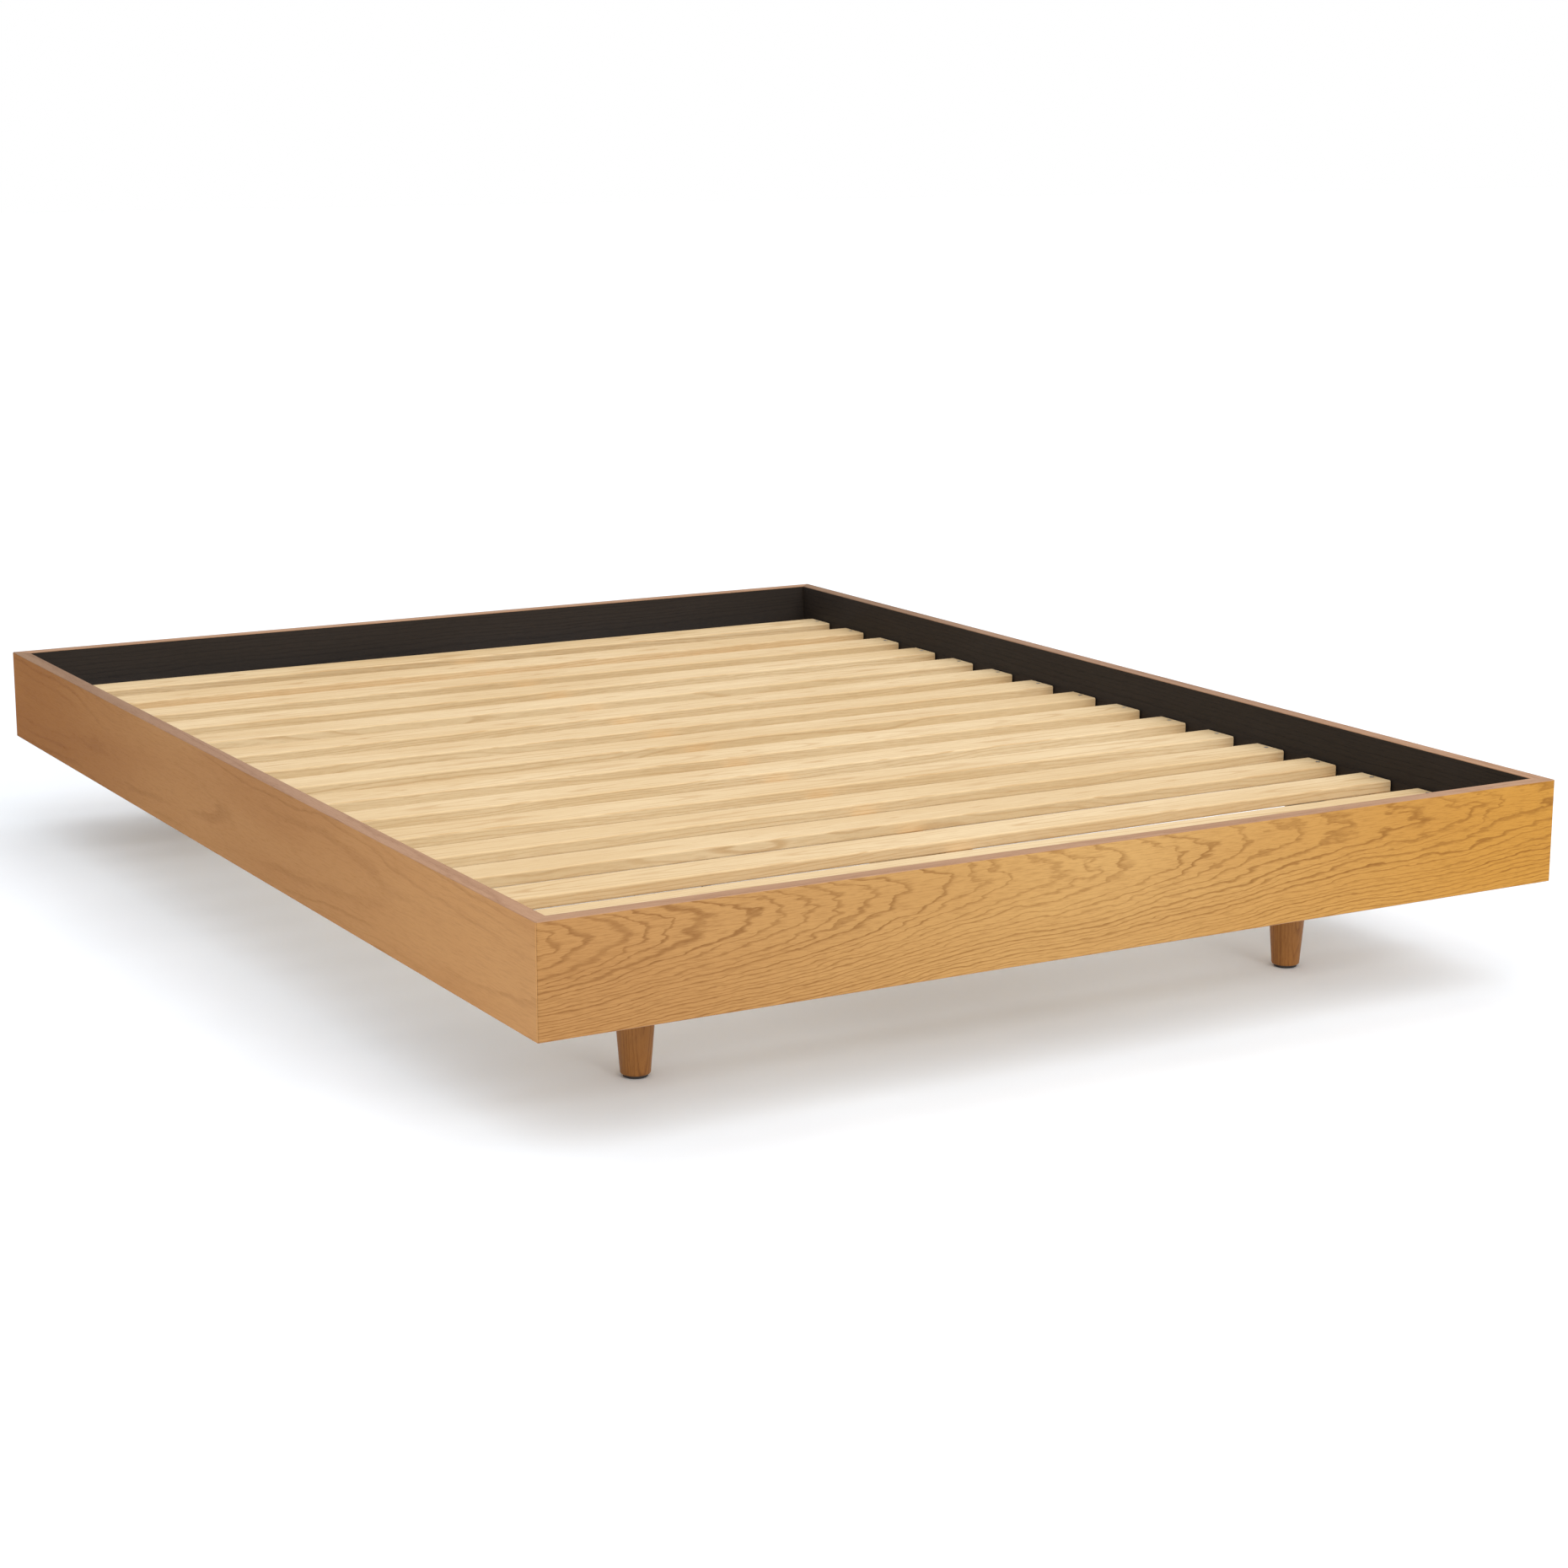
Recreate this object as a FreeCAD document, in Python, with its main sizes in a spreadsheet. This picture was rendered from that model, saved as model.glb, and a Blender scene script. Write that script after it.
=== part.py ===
import FreeCAD, Part
import math
import os
import re

import Sketcher
from FreeCAD import Placement, Rotation, Vector

# A low platform bed frame for a 1524 x 2032 mm mattress, in millimetres.
# X runs across the bed, Y along it (foot rail at -Y), Z up.
# The origin is on the floor under the middle of the bed.

SLAT_COUNT = 16
LEDGER_SCREW_COUNT = 8

# Screw and bolt heads: the flare of a sunk head in degrees, and the driver recess
# as shares of the head's radius and height.
SUNK_FLARE = -44
RECESS_RADIUS = " * 0.4"
RECESS_DEPTH = " * 0.5"

SIZES = {
    # outside of the frame
    "overall_width": 1640,
    "overall_length": 2150,
    "floor_gap": 156,
    "rail_height": 152,
    "rail_thickness": 25,
    "rail_edge_round": 1.5,
    # mitred corners
    "dowel_radius": 4,
    "dowel_depth": 9,
    "dowel_low": 40,
    "dowel_high": 112,
    # slat deck
    "recess_depth": 60,
    "slat_width": 70,
    "slat_thickness": 18,
    "slat_round": 3,
    "slat_end_gap": 40,
    "slat_side_gap": 3,
    # ledgers, corner blocks and beams
    "inner_lift": 4,
    "ledger_width": 32,
    "ledger_height": 34,
    "ledger_screw_margin": 40,
    "block_side": 60,
    "block_chamfer": 12,
    "bearer_width": 72,
    "bearer_drop": 5,
    "beam_width": 45,
    "beam_height": 60,
    "joint_gap": 0.5,
    # legs
    "leg_inset_across": 270,
    "leg_inset_along": 267,
    "leg_top_radius": 33,
    "leg_foot_radius": 20.5,
    "leg_foot_round": 2.5,
    "leg_top_round": 1,
    "plate_side": 70,
    "plate_thickness": 3,
    "plate_corner": 6,
    "plate_screw_offset": 27,
    "glide_radius": 17,
    "glide_thickness": 4,
    "glide_round": 1,
    "glide_pin_radius": 1.5,
    "glide_pin_length": 12,
    # centre support and its levelling foot
    "centre_leg_top_radius": 25,
    "centre_leg_foot_radius": 21,
    "centre_leg_lift": 30,
    "insert_radius": 6,
    "insert_length": 25,
    "insert_room": 1,
    "stem_bore_gap": 0.5,
    "pad_radius": 22,
    "pad_rim": 3,
    "pad_neck_radius": 10,
    "pad_height": 12,
    "stem_radius": 4,
    "stem_seat": 3,
    "stem_top": 62,
    "collar_radius": 7.5,
    "collar_height": 6,
    "collar_gap": 0.3,
    "stem_travel_room": 16,
    # beam brackets
    "bracket_width": 110,
    "bracket_height": 56,
    "bracket_thickness": 3,
    "bracket_shelf": 43,
    "bracket_corner": 4,
    "bracket_screw_across": 40,
    # fasteners
    "fit": 0.05,
    "bolt_radius": 3,
    "bolt_head_radius": 6,
    "bolt_head_height": 4,
    "bolt_bite": 13,
    "rail_insert_radius": 4.5,
    "rail_insert_length": 14,
    "hanger_radius": 4,
    "hanger_down": 40,
    "hanger_up": 15,
    "hanger_room_down": 2,
    "hanger_room_up": 4,
    "screw_radius": 2,
    "screw_head_radius": 4,
    "screw_head_height": 2,
    "pan_head_height": 2.2,
    "slat_screw_length": 38,
    "ledger_screw_length": 48,
    "bearer_screw_length": 58,
    "plate_screw_length": 20,
    "bracket_screw_length": 18,
    "shelf_screw_length": 29,
}

# Heights of the inner pieces above the bottom edge of the rails.
DECK_UNDER = "(rail_height - recess_depth - slat_thickness)"
LEDGER_UNDER = "(" + DECK_UNDER + " - ledger_height)"
BEARER_HEIGHT = "(" + DECK_UNDER + " - bearer_drop - inner_lift)"
BEAM_UNDER = "(" + DECK_UNDER + " - beam_height)"
LAP_SPLIT = "((inner_lift + " + BEARER_HEIGHT + " + " + BEAM_UNDER + ") / 2)"
# Plan sizes.
INNER_WIDTH = "(overall_width - 2 * rail_thickness)"
INNER_LENGTH = "(overall_length - 2 * rail_thickness)"
LEDGER_LENGTH = "(" + INNER_LENGTH + " - 2 * block_side - 2 * joint_gap)"
SLAT_FIRST = "(slat_end_gap + slat_width / 2 - " + INNER_LENGTH + " / 2)"
SLAT_PITCH = "(-2 * " + SLAT_FIRST + " / " + str(SLAT_COUNT - 1) + ")"
LEG_X = "(overall_width / 2 - leg_inset_across)"
LEG_Y = "(overall_length / 2 - leg_inset_along)"
LEG_LENGTH = "(floor_gap + inner_lift - plate_thickness - glide_thickness)"
CENTRE_LEG_TOP = "(floor_gap + " + BEAM_UNDER + " - plate_thickness)"
# Screw lines across the ledger, measured from the side rail's inner face.
SLAT_SCREW_IN = "(ledger_width * 0.34)"
BEARER_SCREW_IN = "(ledger_width * 0.7)"
BEARER_SCREW_OUT = "(bearer_width / 4)"
LEDGER_SCREW_UP = "(" + LEDGER_UNDER + " + ledger_height * 0.22)"
# Bolts of the corner blocks: the two directions are staggered in height.
END_BOLT_IN = "(block_side * 0.77)"
SIDE_BOLT_IN = "(block_side * 0.4)"
BLOCK_HEIGHT = "(" + DECK_UNDER + " - inner_lift)"
END_BOLT_UPS = ["(inner_lift + " + BLOCK_HEIGHT + " * %s)" % part for part in ("0.18", "0.64")]
SIDE_BOLT_UPS = ["(inner_lift + " + BLOCK_HEIGHT + " * %s)" % part for part in ("0.41", "0.87")]

doc = FreeCAD.newDocument("wooden_bed_frame")
sheet = doc.addObject("Spreadsheet::Sheet", "sizes")
for row, (alias, number) in enumerate(SIZES.items(), start=1):
    sheet.set("A%d" % row, alias)
    sheet.set("B%d" % row, str(number))
    sheet.setAlias("B%d" % row, alias)
doc.recompute()

nodes = []


def bound(formula):
    """Point each size name in a formula at its cell in the sheet."""
    return re.sub(
        r"[a-z][a-z_]+",
        lambda word: "sizes." + word.group() if word.group() in SIZES else word.group(),
        formula,
    )


def value(formula):
    """The number a formula has now."""
    return float(sheet.evalExpression(bound(formula)))


def signed(sign, formula):
    """A formula taken with a sign of +1 or -1."""
    return formula if sign > 0 else "-(" + formula + ")"


def new_body(label, at=("0", "0", "0"), turn=0):
    """A named body, turned about Z and placed by three formulas."""
    body = doc.addObject("PartDesign::Body", label)
    body.Label = label
    body.Placement = Placement(Vector(0, 0, 0), Rotation(Vector(0, 0, 1), turn))
    for axis, formula in zip("xyz", at):
        body.setExpression("Placement.Base." + axis, bound(formula))
    nodes.append(body)
    return body


def origin_item(body, role):
    """One of the planes or axes of a body's own origin."""
    return next(item for item in body.Origin.OriginFeatures if item.Role == role)


def new_sketch(body, role, lift):
    """An empty sketch on an origin plane, lifted along the plane's normal."""
    sketch = body.newObject("Sketcher::SketchObject", body.Label + "_sketch")
    sketch.AttachmentSupport = (origin_item(body, role), [""])
    sketch.MapMode = "FlatFace"
    sketch.setExpression("AttachmentOffset.Base.z", bound(lift))
    return sketch


def pin_point(sketch, item, vertex, point):
    """Hold one point of a sketch at two formulas from the sketch's origin."""
    for kind, formula in zip(("DistanceX", "DistanceY"), point):
        number = sketch.addConstraint(
            Sketcher.Constraint(kind, -1, 1, item, vertex, value(formula))
        )
        sketch.setExpression("Constraints[%d]" % number, bound(formula))


def polygon(body, role, points, lift="0"):
    """A closed outline whose corners are pairs of formulas."""
    sketch = new_sketch(body, role, lift)
    corners = [Vector(value(across), value(up), 0) for across, up in points]
    count = len(corners)
    for side in range(count):
        line = Part.LineSegment(corners[side], corners[(side + 1) % count])
        sketch.addGeometry(line, False)
    for side in range(count):
        joint = Sketcher.Constraint("Coincident", side, 2, (side + 1) % count, 1)
        sketch.addConstraint(joint)
    for side, point in enumerate(points):
        pin_point(sketch, side, 1, point)
    return sketch


def circles(body, role, spots, radii, lift="0"):
    """Circles of each radius at each spot; two radii draw rings."""
    sketch = new_sketch(body, role, lift)
    for spot in spots:
        for radius in radii:
            middle = Vector(value(spot[0]), value(spot[1]), 0)
            ring = Part.Circle(middle, Vector(0, 0, 1), value(radius))
            item = sketch.addGeometry(ring, False)
            pin_point(sketch, item, 3, spot)
            number = sketch.addConstraint(Sketcher.Constraint("Radius", item, value(radius)))
            sketch.setExpression("Constraints[%d]" % number, bound(radius))
    return sketch


def pad(body, sketch, length, along=1, taper=0):
    """Add material along (+1) or against (-1) the sketch's normal."""
    feature = body.newObject("PartDesign::Pad", body.Label + "_pad")
    feature.Profile = sketch
    feature.Reversed = along < 0
    feature.TaperAngle = taper
    feature.setExpression("Length", bound(length))
    body.Tip = feature
    return feature


def pocket(body, sketch, depth, along=1, taper=0):
    """Cut along (+1) or against (-1) the sketch's normal, and prove that it cut."""
    doc.recompute()
    before = body.Shape.Volume
    feature = body.newObject("PartDesign::Pocket", body.Label + "_pocket")
    feature.Profile = sketch
    feature.Reversed = along > 0
    feature.TaperAngle = taper
    feature.setExpression("Length", bound(depth))
    body.Tip = feature
    doc.recompute()
    if body.Shape.Volume >= before - 1:
        raise ValueError("a pocket of " + body.Label + " removed nothing")
    return feature


def turned(body, points):
    """A solid of revolution about the body's Z axis from (radius, height) corners."""
    sketch = polygon(body, "XZ_Plane", points)
    feature = body.newObject("PartDesign::Revolution", body.Label + "_turned")
    feature.Profile = sketch
    feature.ReferenceAxis = (origin_item(body, "Z_Axis"), [""])
    feature.Angle = 360
    body.Tip = feature
    return feature


def round_edges(body, radius, wanted):
    """Round every edge of the body's tip for which wanted(edge) is true."""
    doc.recompute()
    tip = body.Tip
    picked = [
        "Edge%d" % number
        for number, edge in enumerate(tip.Shape.Edges, start=1)
        if wanted(edge)
    ]
    feature = body.newObject("PartDesign::Fillet", body.Label + "_round")
    feature.Base = (tip, picked)
    feature.setExpression("Radius", bound(radius))
    body.Tip = feature
    return feature


def runs_along(edge, axis):
    """True for an edge that runs along one axis: its box is thin the other ways."""
    box = edge.BoundBox
    spans = {"x": box.XLength, "y": box.YLength, "z": box.ZLength}
    return spans.pop(axis) > 1 and max(spans.values()) < 0.01


def rod(body, kind, middle, direction, below, above):
    """A dowel-sized cylinder along a level direction, added to or cut from a body."""
    feature = body.newObject("PartDesign::" + kind, body.Label + "_rod")
    feature.AttachmentSupport = (origin_item(body, "XY_Plane"), [""])
    feature.MapMode = "FlatFace"
    feature.AttachmentOffset = Placement(Vector(0, 0, 0), Rotation(Vector(0, 0, 1), direction))
    start = [
        "%s - (%s) * (%.6f)" % (formula, below, part)
        for formula, part in zip(middle, (direction.x, direction.y, 0))
    ]
    for axis, formula in zip("xyz", start):
        feature.setExpression("AttachmentOffset.Base." + axis, bound(formula))
    radius = "dowel_radius" if kind == "AdditiveCylinder" else "dowel_radius + fit"
    feature.setExpression("Radius", bound(radius))
    feature.setExpression("Height", bound(below + " + " + above))
    body.Tip = feature
    return feature


def fasteners(body, role, lift, spots, along, radius, length, head):
    """Screws or bolts from a plane: shanks one way, heads sunk or standing proud.

    head is (radius, height, sunk): a sunk head narrows into the material, any other
    stands on the plane. Each head has a round driver recess.
    """
    head_radius, head_height, sunk = head
    pad(body, circles(body, role, spots, [radius], lift), length, along)
    heads = circles(body, role, spots, [head_radius], lift)
    if sunk:
        pad(body, heads, head_height, along, taper=SUNK_FLARE)
        top = lift
    else:
        pad(body, heads, head_height, -along)
        top = "%s - (%d) * (%s)" % (lift, along, head_height)
    recess = circles(body, role, spots, [head_radius + RECESS_RADIUS], top)
    pocket(body, recess, head_height + RECESS_DEPTH, along)


def screw_holes(body, role, lift, spots, along, depth, sunk=True):
    """Clearance holes for the wood screws, countersunk on the plane they start from."""
    pocket(body, circles(body, role, spots, ["screw_radius + fit"], lift), depth, along)
    if sunk:
        cones = circles(body, role, spots, ["screw_head_radius + fit"], lift)
        pocket(body, cones, "screw_head_height", along, taper=SUNK_FLARE)


def pilot_holes(body, role, lift, spots, along, depth, radius="screw_radius"):
    """Blind holes that take a shank with the usual fit."""
    pocket(body, circles(body, role, spots, [radius + " + fit"], lift), depth, along)


SUNK_HEAD = ("screw_head_radius", "screw_head_height", True)
PAN_HEAD = ("screw_head_radius", "pan_head_height", False)
BOLT_HEAD = ("bolt_head_radius", "bolt_head_height", False)

MITRE = math.sqrt(0.5)
DOWEL_UPS = ("dowel_low", "dowel_high")

LEDGER_SCREWS = [
    "(%s - 2 * ledger_screw_margin) * (%.6f)" % (LEDGER_LENGTH, number / (LEDGER_SCREW_COUNT - 1) - 0.5)
    for number in range(LEDGER_SCREW_COUNT)
]
SLAT_LINES = ["(%s + %d * %s)" % (SLAT_FIRST, number, SLAT_PITCH) for number in range(SLAT_COUNT)]
BRACKET_SCREW_UPS = ["bracket_height * 0.25", "bracket_height * 0.8"]


# --- the four mitred rails ---------------------------------------------------


def make_rail(label, length, at, turn, blind_holes):
    """A rail with its outer face on local y = 0, mitred at both ends.

    blind_holes lists (spots, radius, depth), cut from the inner face.
    """
    body = new_body(label, at, turn)
    half = "(" + length + " / 2)"
    outline = [
        ("-" + half, "0"),
        (half, "0"),
        (half + " - rail_thickness", "rail_thickness"),
        ("rail_thickness - " + half, "rail_thickness"),
    ]
    pad(body, polygon(body, "XY_Plane", outline), "rail_height")
    round_edges(body, "rail_edge_round", lambda edge: runs_along(edge, "x"))
    for spots, radius, depth in blind_holes:
        pilot_holes(body, "XZ_Plane", "-rail_thickness", spots, 1, depth, radius)
    for side in (1, -1):
        for up in DOWEL_UPS:
            middle = (signed(side, half + " - rail_thickness / 2"), "rail_thickness / 2", up)
            facing = Vector(side * MITRE, MITRE, 0)
            rod(body, "SubtractiveCylinder", middle, facing, "dowel_depth + fit", "dowel_depth")


def insert_spots(length, inward, ups):
    """Bolt positions at both ends of a rail of one length."""
    return [
        (signed(side, "%s / 2 - rail_thickness - %s" % (length, inward)), up)
        for side in (1, -1)
        for up in ups
    ]


end_holes = [
    (insert_spots("overall_width", END_BOLT_IN, END_BOLT_UPS), "rail_insert_radius",
     "rail_insert_length + fit"),
    ([(signed(side, "bracket_screw_across"),
       "%s - bracket_thickness + %s" % (BEAM_UNDER, up))
      for side in (1, -1) for up in BRACKET_SCREW_UPS],
     "screw_radius", "bracket_screw_length - bracket_thickness + fit"),
]
side_holes = [
    (insert_spots("overall_length", SIDE_BOLT_IN, SIDE_BOLT_UPS), "rail_insert_radius",
     "rail_insert_length + fit"),
    ([(line, LEDGER_SCREW_UP) for line in LEDGER_SCREWS],
     "screw_radius", "ledger_screw_length - ledger_width + fit"),
]
make_rail("foot_rail", "overall_width", ("0", "-overall_length / 2", "floor_gap"), 0, end_holes)
make_rail("head_rail", "overall_width", ("0", "overall_length / 2", "floor_gap"), 180, end_holes)
make_rail("left_side_rail", "overall_length", ("-overall_width / 2", "0", "floor_gap"), -90,
          side_holes)
make_rail("right_side_rail", "overall_length", ("overall_width / 2", "0", "floor_gap"), 90,
          side_holes)

CORNERS = {
    "foot_left": (-1, -1),
    "foot_right": (1, -1),
    "head_left": (-1, 1),
    "head_right": (1, 1),
}

# Loose dowels that cross the four mitres.
dowels = new_body("corner_dowels", ("0", "0", "floor_gap"))
for side, end in CORNERS.values():
    for up in DOWEL_UPS:
        middle = (
            signed(side, "overall_width / 2 - rail_thickness / 2"),
            signed(end, "overall_length / 2 - rail_thickness / 2"),
            up,
        )
        across = Vector(side * MITRE, -end * MITRE, 0)
        rod(dowels, "AdditiveCylinder", middle, across, "dowel_depth", "dowel_depth")

# --- corner blocks with their bolts and threaded inserts ---------------------

for corner, (side, end) in CORNERS.items():
    block = new_body(
        corner + "_corner_block",
        (signed(side, INNER_WIDTH + " / 2"), signed(end, INNER_LENGTH + " / 2"),
         "floor_gap + inner_lift"),
    )
    outline = [
        ("0", "0"),
        ("block_side", "0"),
        ("block_side", "block_side - block_chamfer"),
        ("block_side - block_chamfer", "block_side"),
        ("0", "block_side"),
    ]
    outline = [(signed(-side, across), signed(-end, up)) for across, up in outline]
    pad(block, polygon(block, "XY_Plane", outline), BLOCK_HEIGHT)
    end_spots = [(signed(-side, END_BOLT_IN), up + " - inner_lift") for up in END_BOLT_UPS]
    side_spots = [(signed(-end, SIDE_BOLT_IN), up + " - inner_lift") for up in SIDE_BOLT_UPS]
    pilot_holes(block, "XZ_Plane", "0", end_spots, end, "block_side", "bolt_radius")
    pilot_holes(block, "YZ_Plane", "0", side_spots, -side, "block_side", "bolt_radius")

bolts = new_body("corner_bolts", ("0", "0", "floor_gap"))
inserts = new_body("rail_thread_inserts", ("0", "0", "floor_gap"))
for sign in (1, -1):
    end_spots = [
        (signed(side, "%s / 2 - %s" % (INNER_WIDTH, END_BOLT_IN)), up)
        for side in (1, -1)
        for up in END_BOLT_UPS
    ]
    side_spots = [
        (signed(end, "%s / 2 - %s" % (INNER_LENGTH, SIDE_BOLT_IN)), up)
        for end in (1, -1)
        for up in SIDE_BOLT_UPS
    ]
    groups = (
        ("XZ_Plane", INNER_LENGTH, end_spots),
        ("YZ_Plane", INNER_WIDTH, side_spots),
    )
    for plane, span, spots in groups:
        head_lift = signed(sign, span + " / 2 - block_side")
        fasteners(bolts, plane, head_lift, spots, sign, "bolt_radius",
                  "block_side + bolt_bite", BOLT_HEAD)
        sleeve = circles(inserts, plane, spots, ["rail_insert_radius", "bolt_radius + fit"],
                         signed(sign, span + " / 2"))
        pad(inserts, sleeve, "rail_insert_length", sign)

# --- ledgers -----------------------------------------------------------------

for name, side in (("left", -1), ("right", 1)):
    ledger = new_body(
        name + "_slat_ledger",
        (signed(side, INNER_WIDTH + " / 2"), "0", "floor_gap + " + LEDGER_UNDER),
    )
    width = signed(-side, "ledger_width")
    half = LEDGER_LENGTH + " / 2"
    outline = [("0", "-" + half), (width, "-" + half), (width, half), ("0", half)]
    pad(ledger, polygon(ledger, "XY_Plane", outline), "ledger_height")
    spots = [(line, LEDGER_SCREW_UP + " - " + LEDGER_UNDER) for line in LEDGER_SCREWS]
    screw_holes(ledger, "YZ_Plane", width, spots, side, "ledger_width")
    spots = [(signed(-side, SLAT_SCREW_IN), line) for line in SLAT_LINES]
    pilot_holes(ledger, "XY_Plane", "ledger_height", spots, -1,
                "slat_screw_length - slat_thickness + fit")
    spots = [
        (signed(-side, BEARER_SCREW_IN), signed(end, LEG_Y + " + %d * %s" % (out, BEARER_SCREW_OUT)))
        for end in (1, -1)
        for out in (1, -1)
    ]
    pilot_holes(ledger, "XY_Plane", "0", spots, 1,
                "bearer_screw_length - (%s - inner_lift) + fit" % LEDGER_UNDER)

screws = new_body("ledger_screws", ("0", "0", "floor_gap"))
for side in (-1, 1):
    spots = [(line, LEDGER_SCREW_UP) for line in LEDGER_SCREWS]
    fasteners(screws, "YZ_Plane", signed(side, INNER_WIDTH + " / 2 - ledger_width"), spots, side,
              "screw_radius", "ledger_screw_length", SUNK_HEAD)

# --- leg bearers, halved over the centre beam --------------------------------

plate_corners = [(across, along) for across in (1, -1) for along in (1, -1)]


def plate_spots(middle_across, middle_along):
    """The four screws of a leg plate around its middle."""
    return [
        ("%s + (%d) * plate_screw_offset" % (middle_across, across),
         "%s + (%d) * plate_screw_offset" % (middle_along, along))
        for across, along in plate_corners
    ]


HALF_BEARER = "(" + INNER_WIDTH + " / 2 - joint_gap)"
SHOULDER = "(" + INNER_WIDTH + " / 2 - ledger_width - joint_gap)"
LAP_HEIGHT = "(" + LEDGER_UNDER + " - inner_lift)"
BEAM_HALF = "(beam_width / 2 + joint_gap)"
NOTCH_FLOOR = "(" + LAP_SPLIT + " - inner_lift)"

for name, end in (("foot", -1), ("head", 1)):
    bearer = new_body(
        name + "_leg_bearer", ("0", signed(end, LEG_Y), "floor_gap + inner_lift")
    )
    right_half = [
        (HALF_BEARER, "0"),
        (HALF_BEARER, LAP_HEIGHT),
        (SHOULDER, LAP_HEIGHT),
        (SHOULDER, BEARER_HEIGHT),
        (BEAM_HALF, BEARER_HEIGHT),
        (BEAM_HALF, NOTCH_FLOOR),
    ]
    left_half = [("-" + across, up) for across, up in reversed(right_half)]
    outline = polygon(bearer, "XZ_Plane", right_half + left_half, "bearer_width / 2")
    pad(bearer, outline, "bearer_width", -1)
    for side in (1, -1):
        middle = signed(side, LEG_X)
        pilot_holes(bearer, "XY_Plane", "0", [(middle, "0")], 1, "hanger_up + hanger_room_up",
                    "hanger_radius")
        pilot_holes(bearer, "XY_Plane", "0", plate_spots(middle, "0"), 1,
                    "plate_screw_length - plate_thickness + fit")
        spots = [
            (signed(side, "%s / 2 - %s" % (INNER_WIDTH, BEARER_SCREW_IN)),
             signed(out, BEARER_SCREW_OUT))
            for out in (1, -1)
        ]
        screw_holes(bearer, "XY_Plane", "0", spots, 1, LAP_HEIGHT)

screws = new_body("bearer_screws", ("0", "0", "floor_gap + inner_lift"))
spots = [
    (signed(side, "%s / 2 - %s" % (INNER_WIDTH, BEARER_SCREW_IN)),
     signed(end, LEG_Y + " + %d * %s" % (out, BEARER_SCREW_OUT)))
    for side in (1, -1)
    for end in (1, -1)
    for out in (1, -1)
]
fasteners(screws, "XY_Plane", "0", spots, 1, "screw_radius", "bearer_screw_length", SUNK_HEAD)

# --- centre beam and its hanger brackets -------------------------------------

beam = new_body("centre_beam", ("0", "0", "floor_gap + " + BEAM_UNDER))
BEAM_END = "(" + INNER_LENGTH + " / 2 - bracket_thickness - joint_gap)"
NOTCH_ROOF = "(" + LAP_SPLIT + " - " + BEAM_UNDER + ")"
NOTCH_NEAR = "(" + LEG_Y + " - bearer_width / 2 - joint_gap)"
NOTCH_FAR = "(" + LEG_Y + " + bearer_width / 2 + joint_gap)"
head_half = [
    (NOTCH_NEAR, "0"),
    (NOTCH_NEAR, NOTCH_ROOF),
    (NOTCH_FAR, NOTCH_ROOF),
    (NOTCH_FAR, "0"),
    (BEAM_END, "0"),
    (BEAM_END, "beam_height"),
]
foot_half = [("-" + along, up) for along, up in reversed(head_half)]
outline = polygon(beam, "YZ_Plane", head_half + foot_half, "-beam_width / 2")
pad(beam, outline, "beam_width")
pilot_holes(beam, "XY_Plane", "0", [("0", "0")], 1, "hanger_up + hanger_room_up", "hanger_radius")
CENTRE_SCREW_ACROSS = "(beam_width * 0.34)"
CENTRE_SCREWS = [
    ("(%d) * %s" % (across, CENTRE_SCREW_ACROSS), "(%d) * plate_screw_offset" % along)
    for across, along in plate_corners
]
pilot_holes(beam, "XY_Plane", "0", CENTRE_SCREWS, 1,
            "plate_screw_length - plate_thickness + fit")
SHELF_SCREW_IN = "(bracket_shelf * 0.6)"
SHELF_SCREWS = [
    ("0", signed(end, INNER_LENGTH + " / 2 - " + SHELF_SCREW_IN)) for end in (1, -1)
]
pilot_holes(beam, "XY_Plane", "0", SHELF_SCREWS, 1,
            "shelf_screw_length - bracket_thickness + fit")

for name, end, turn in (("foot", -1, 0), ("head", 1, 180)):
    bracket = new_body(
        name + "_beam_bracket",
        ("0", signed(end, INNER_LENGTH + " / 2"),
         "floor_gap + %s - bracket_thickness" % BEAM_UNDER),
        turn,
    )
    back = [
        ("-bracket_width / 2", "0"),
        ("bracket_width / 2", "0"),
        ("bracket_width / 2", "bracket_height"),
        ("-bracket_width / 2", "bracket_height"),
    ]
    pad(bracket, polygon(bracket, "XZ_Plane", back), "bracket_thickness", -1)
    shelf = [
        ("-beam_width / 2", "0"),
        ("beam_width / 2", "0"),
        ("beam_width / 2", "bracket_shelf"),
        ("-beam_width / 2", "bracket_shelf"),
    ]
    pad(bracket, polygon(bracket, "XY_Plane", shelf), "bracket_thickness")
    round_edges(
        bracket, "bracket_corner",
        lambda edge: runs_along(edge, "y") and edge.Length < value("bracket_thickness") + 0.1,
    )
    spots = [
        (signed(side, "bracket_screw_across"), up)
        for side in (1, -1)
        for up in BRACKET_SCREW_UPS
    ]
    pilot_holes(bracket, "XZ_Plane", "0", spots, -1, "bracket_thickness")
    pilot_holes(bracket, "XY_Plane", "0", [("0", SHELF_SCREW_IN)], 1,
                "bracket_thickness")

screws = new_body(
    "beam_bracket_screws", ("0", "0", "floor_gap + %s - bracket_thickness" % BEAM_UNDER)
)
spots = [
    (signed(side, "bracket_screw_across"), up)
    for side in (1, -1)
    for up in BRACKET_SCREW_UPS
]
for sign in (1, -1):
    fasteners(screws, "XZ_Plane", signed(sign, INNER_LENGTH + " / 2 - bracket_thickness"), spots,
              sign, "screw_radius", "bracket_screw_length", PAN_HEAD)
fasteners(screws, "XY_Plane", "0", SHELF_SCREWS, 1, "screw_radius", "shelf_screw_length",
          PAN_HEAD)

# --- legs, plates, hanger bolts and glides -----------------------------------

LEG_SPOTS = {
    corner: (signed(side, LEG_X), signed(end, LEG_Y))
    for corner, (side, end) in CORNERS.items()
}

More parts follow.
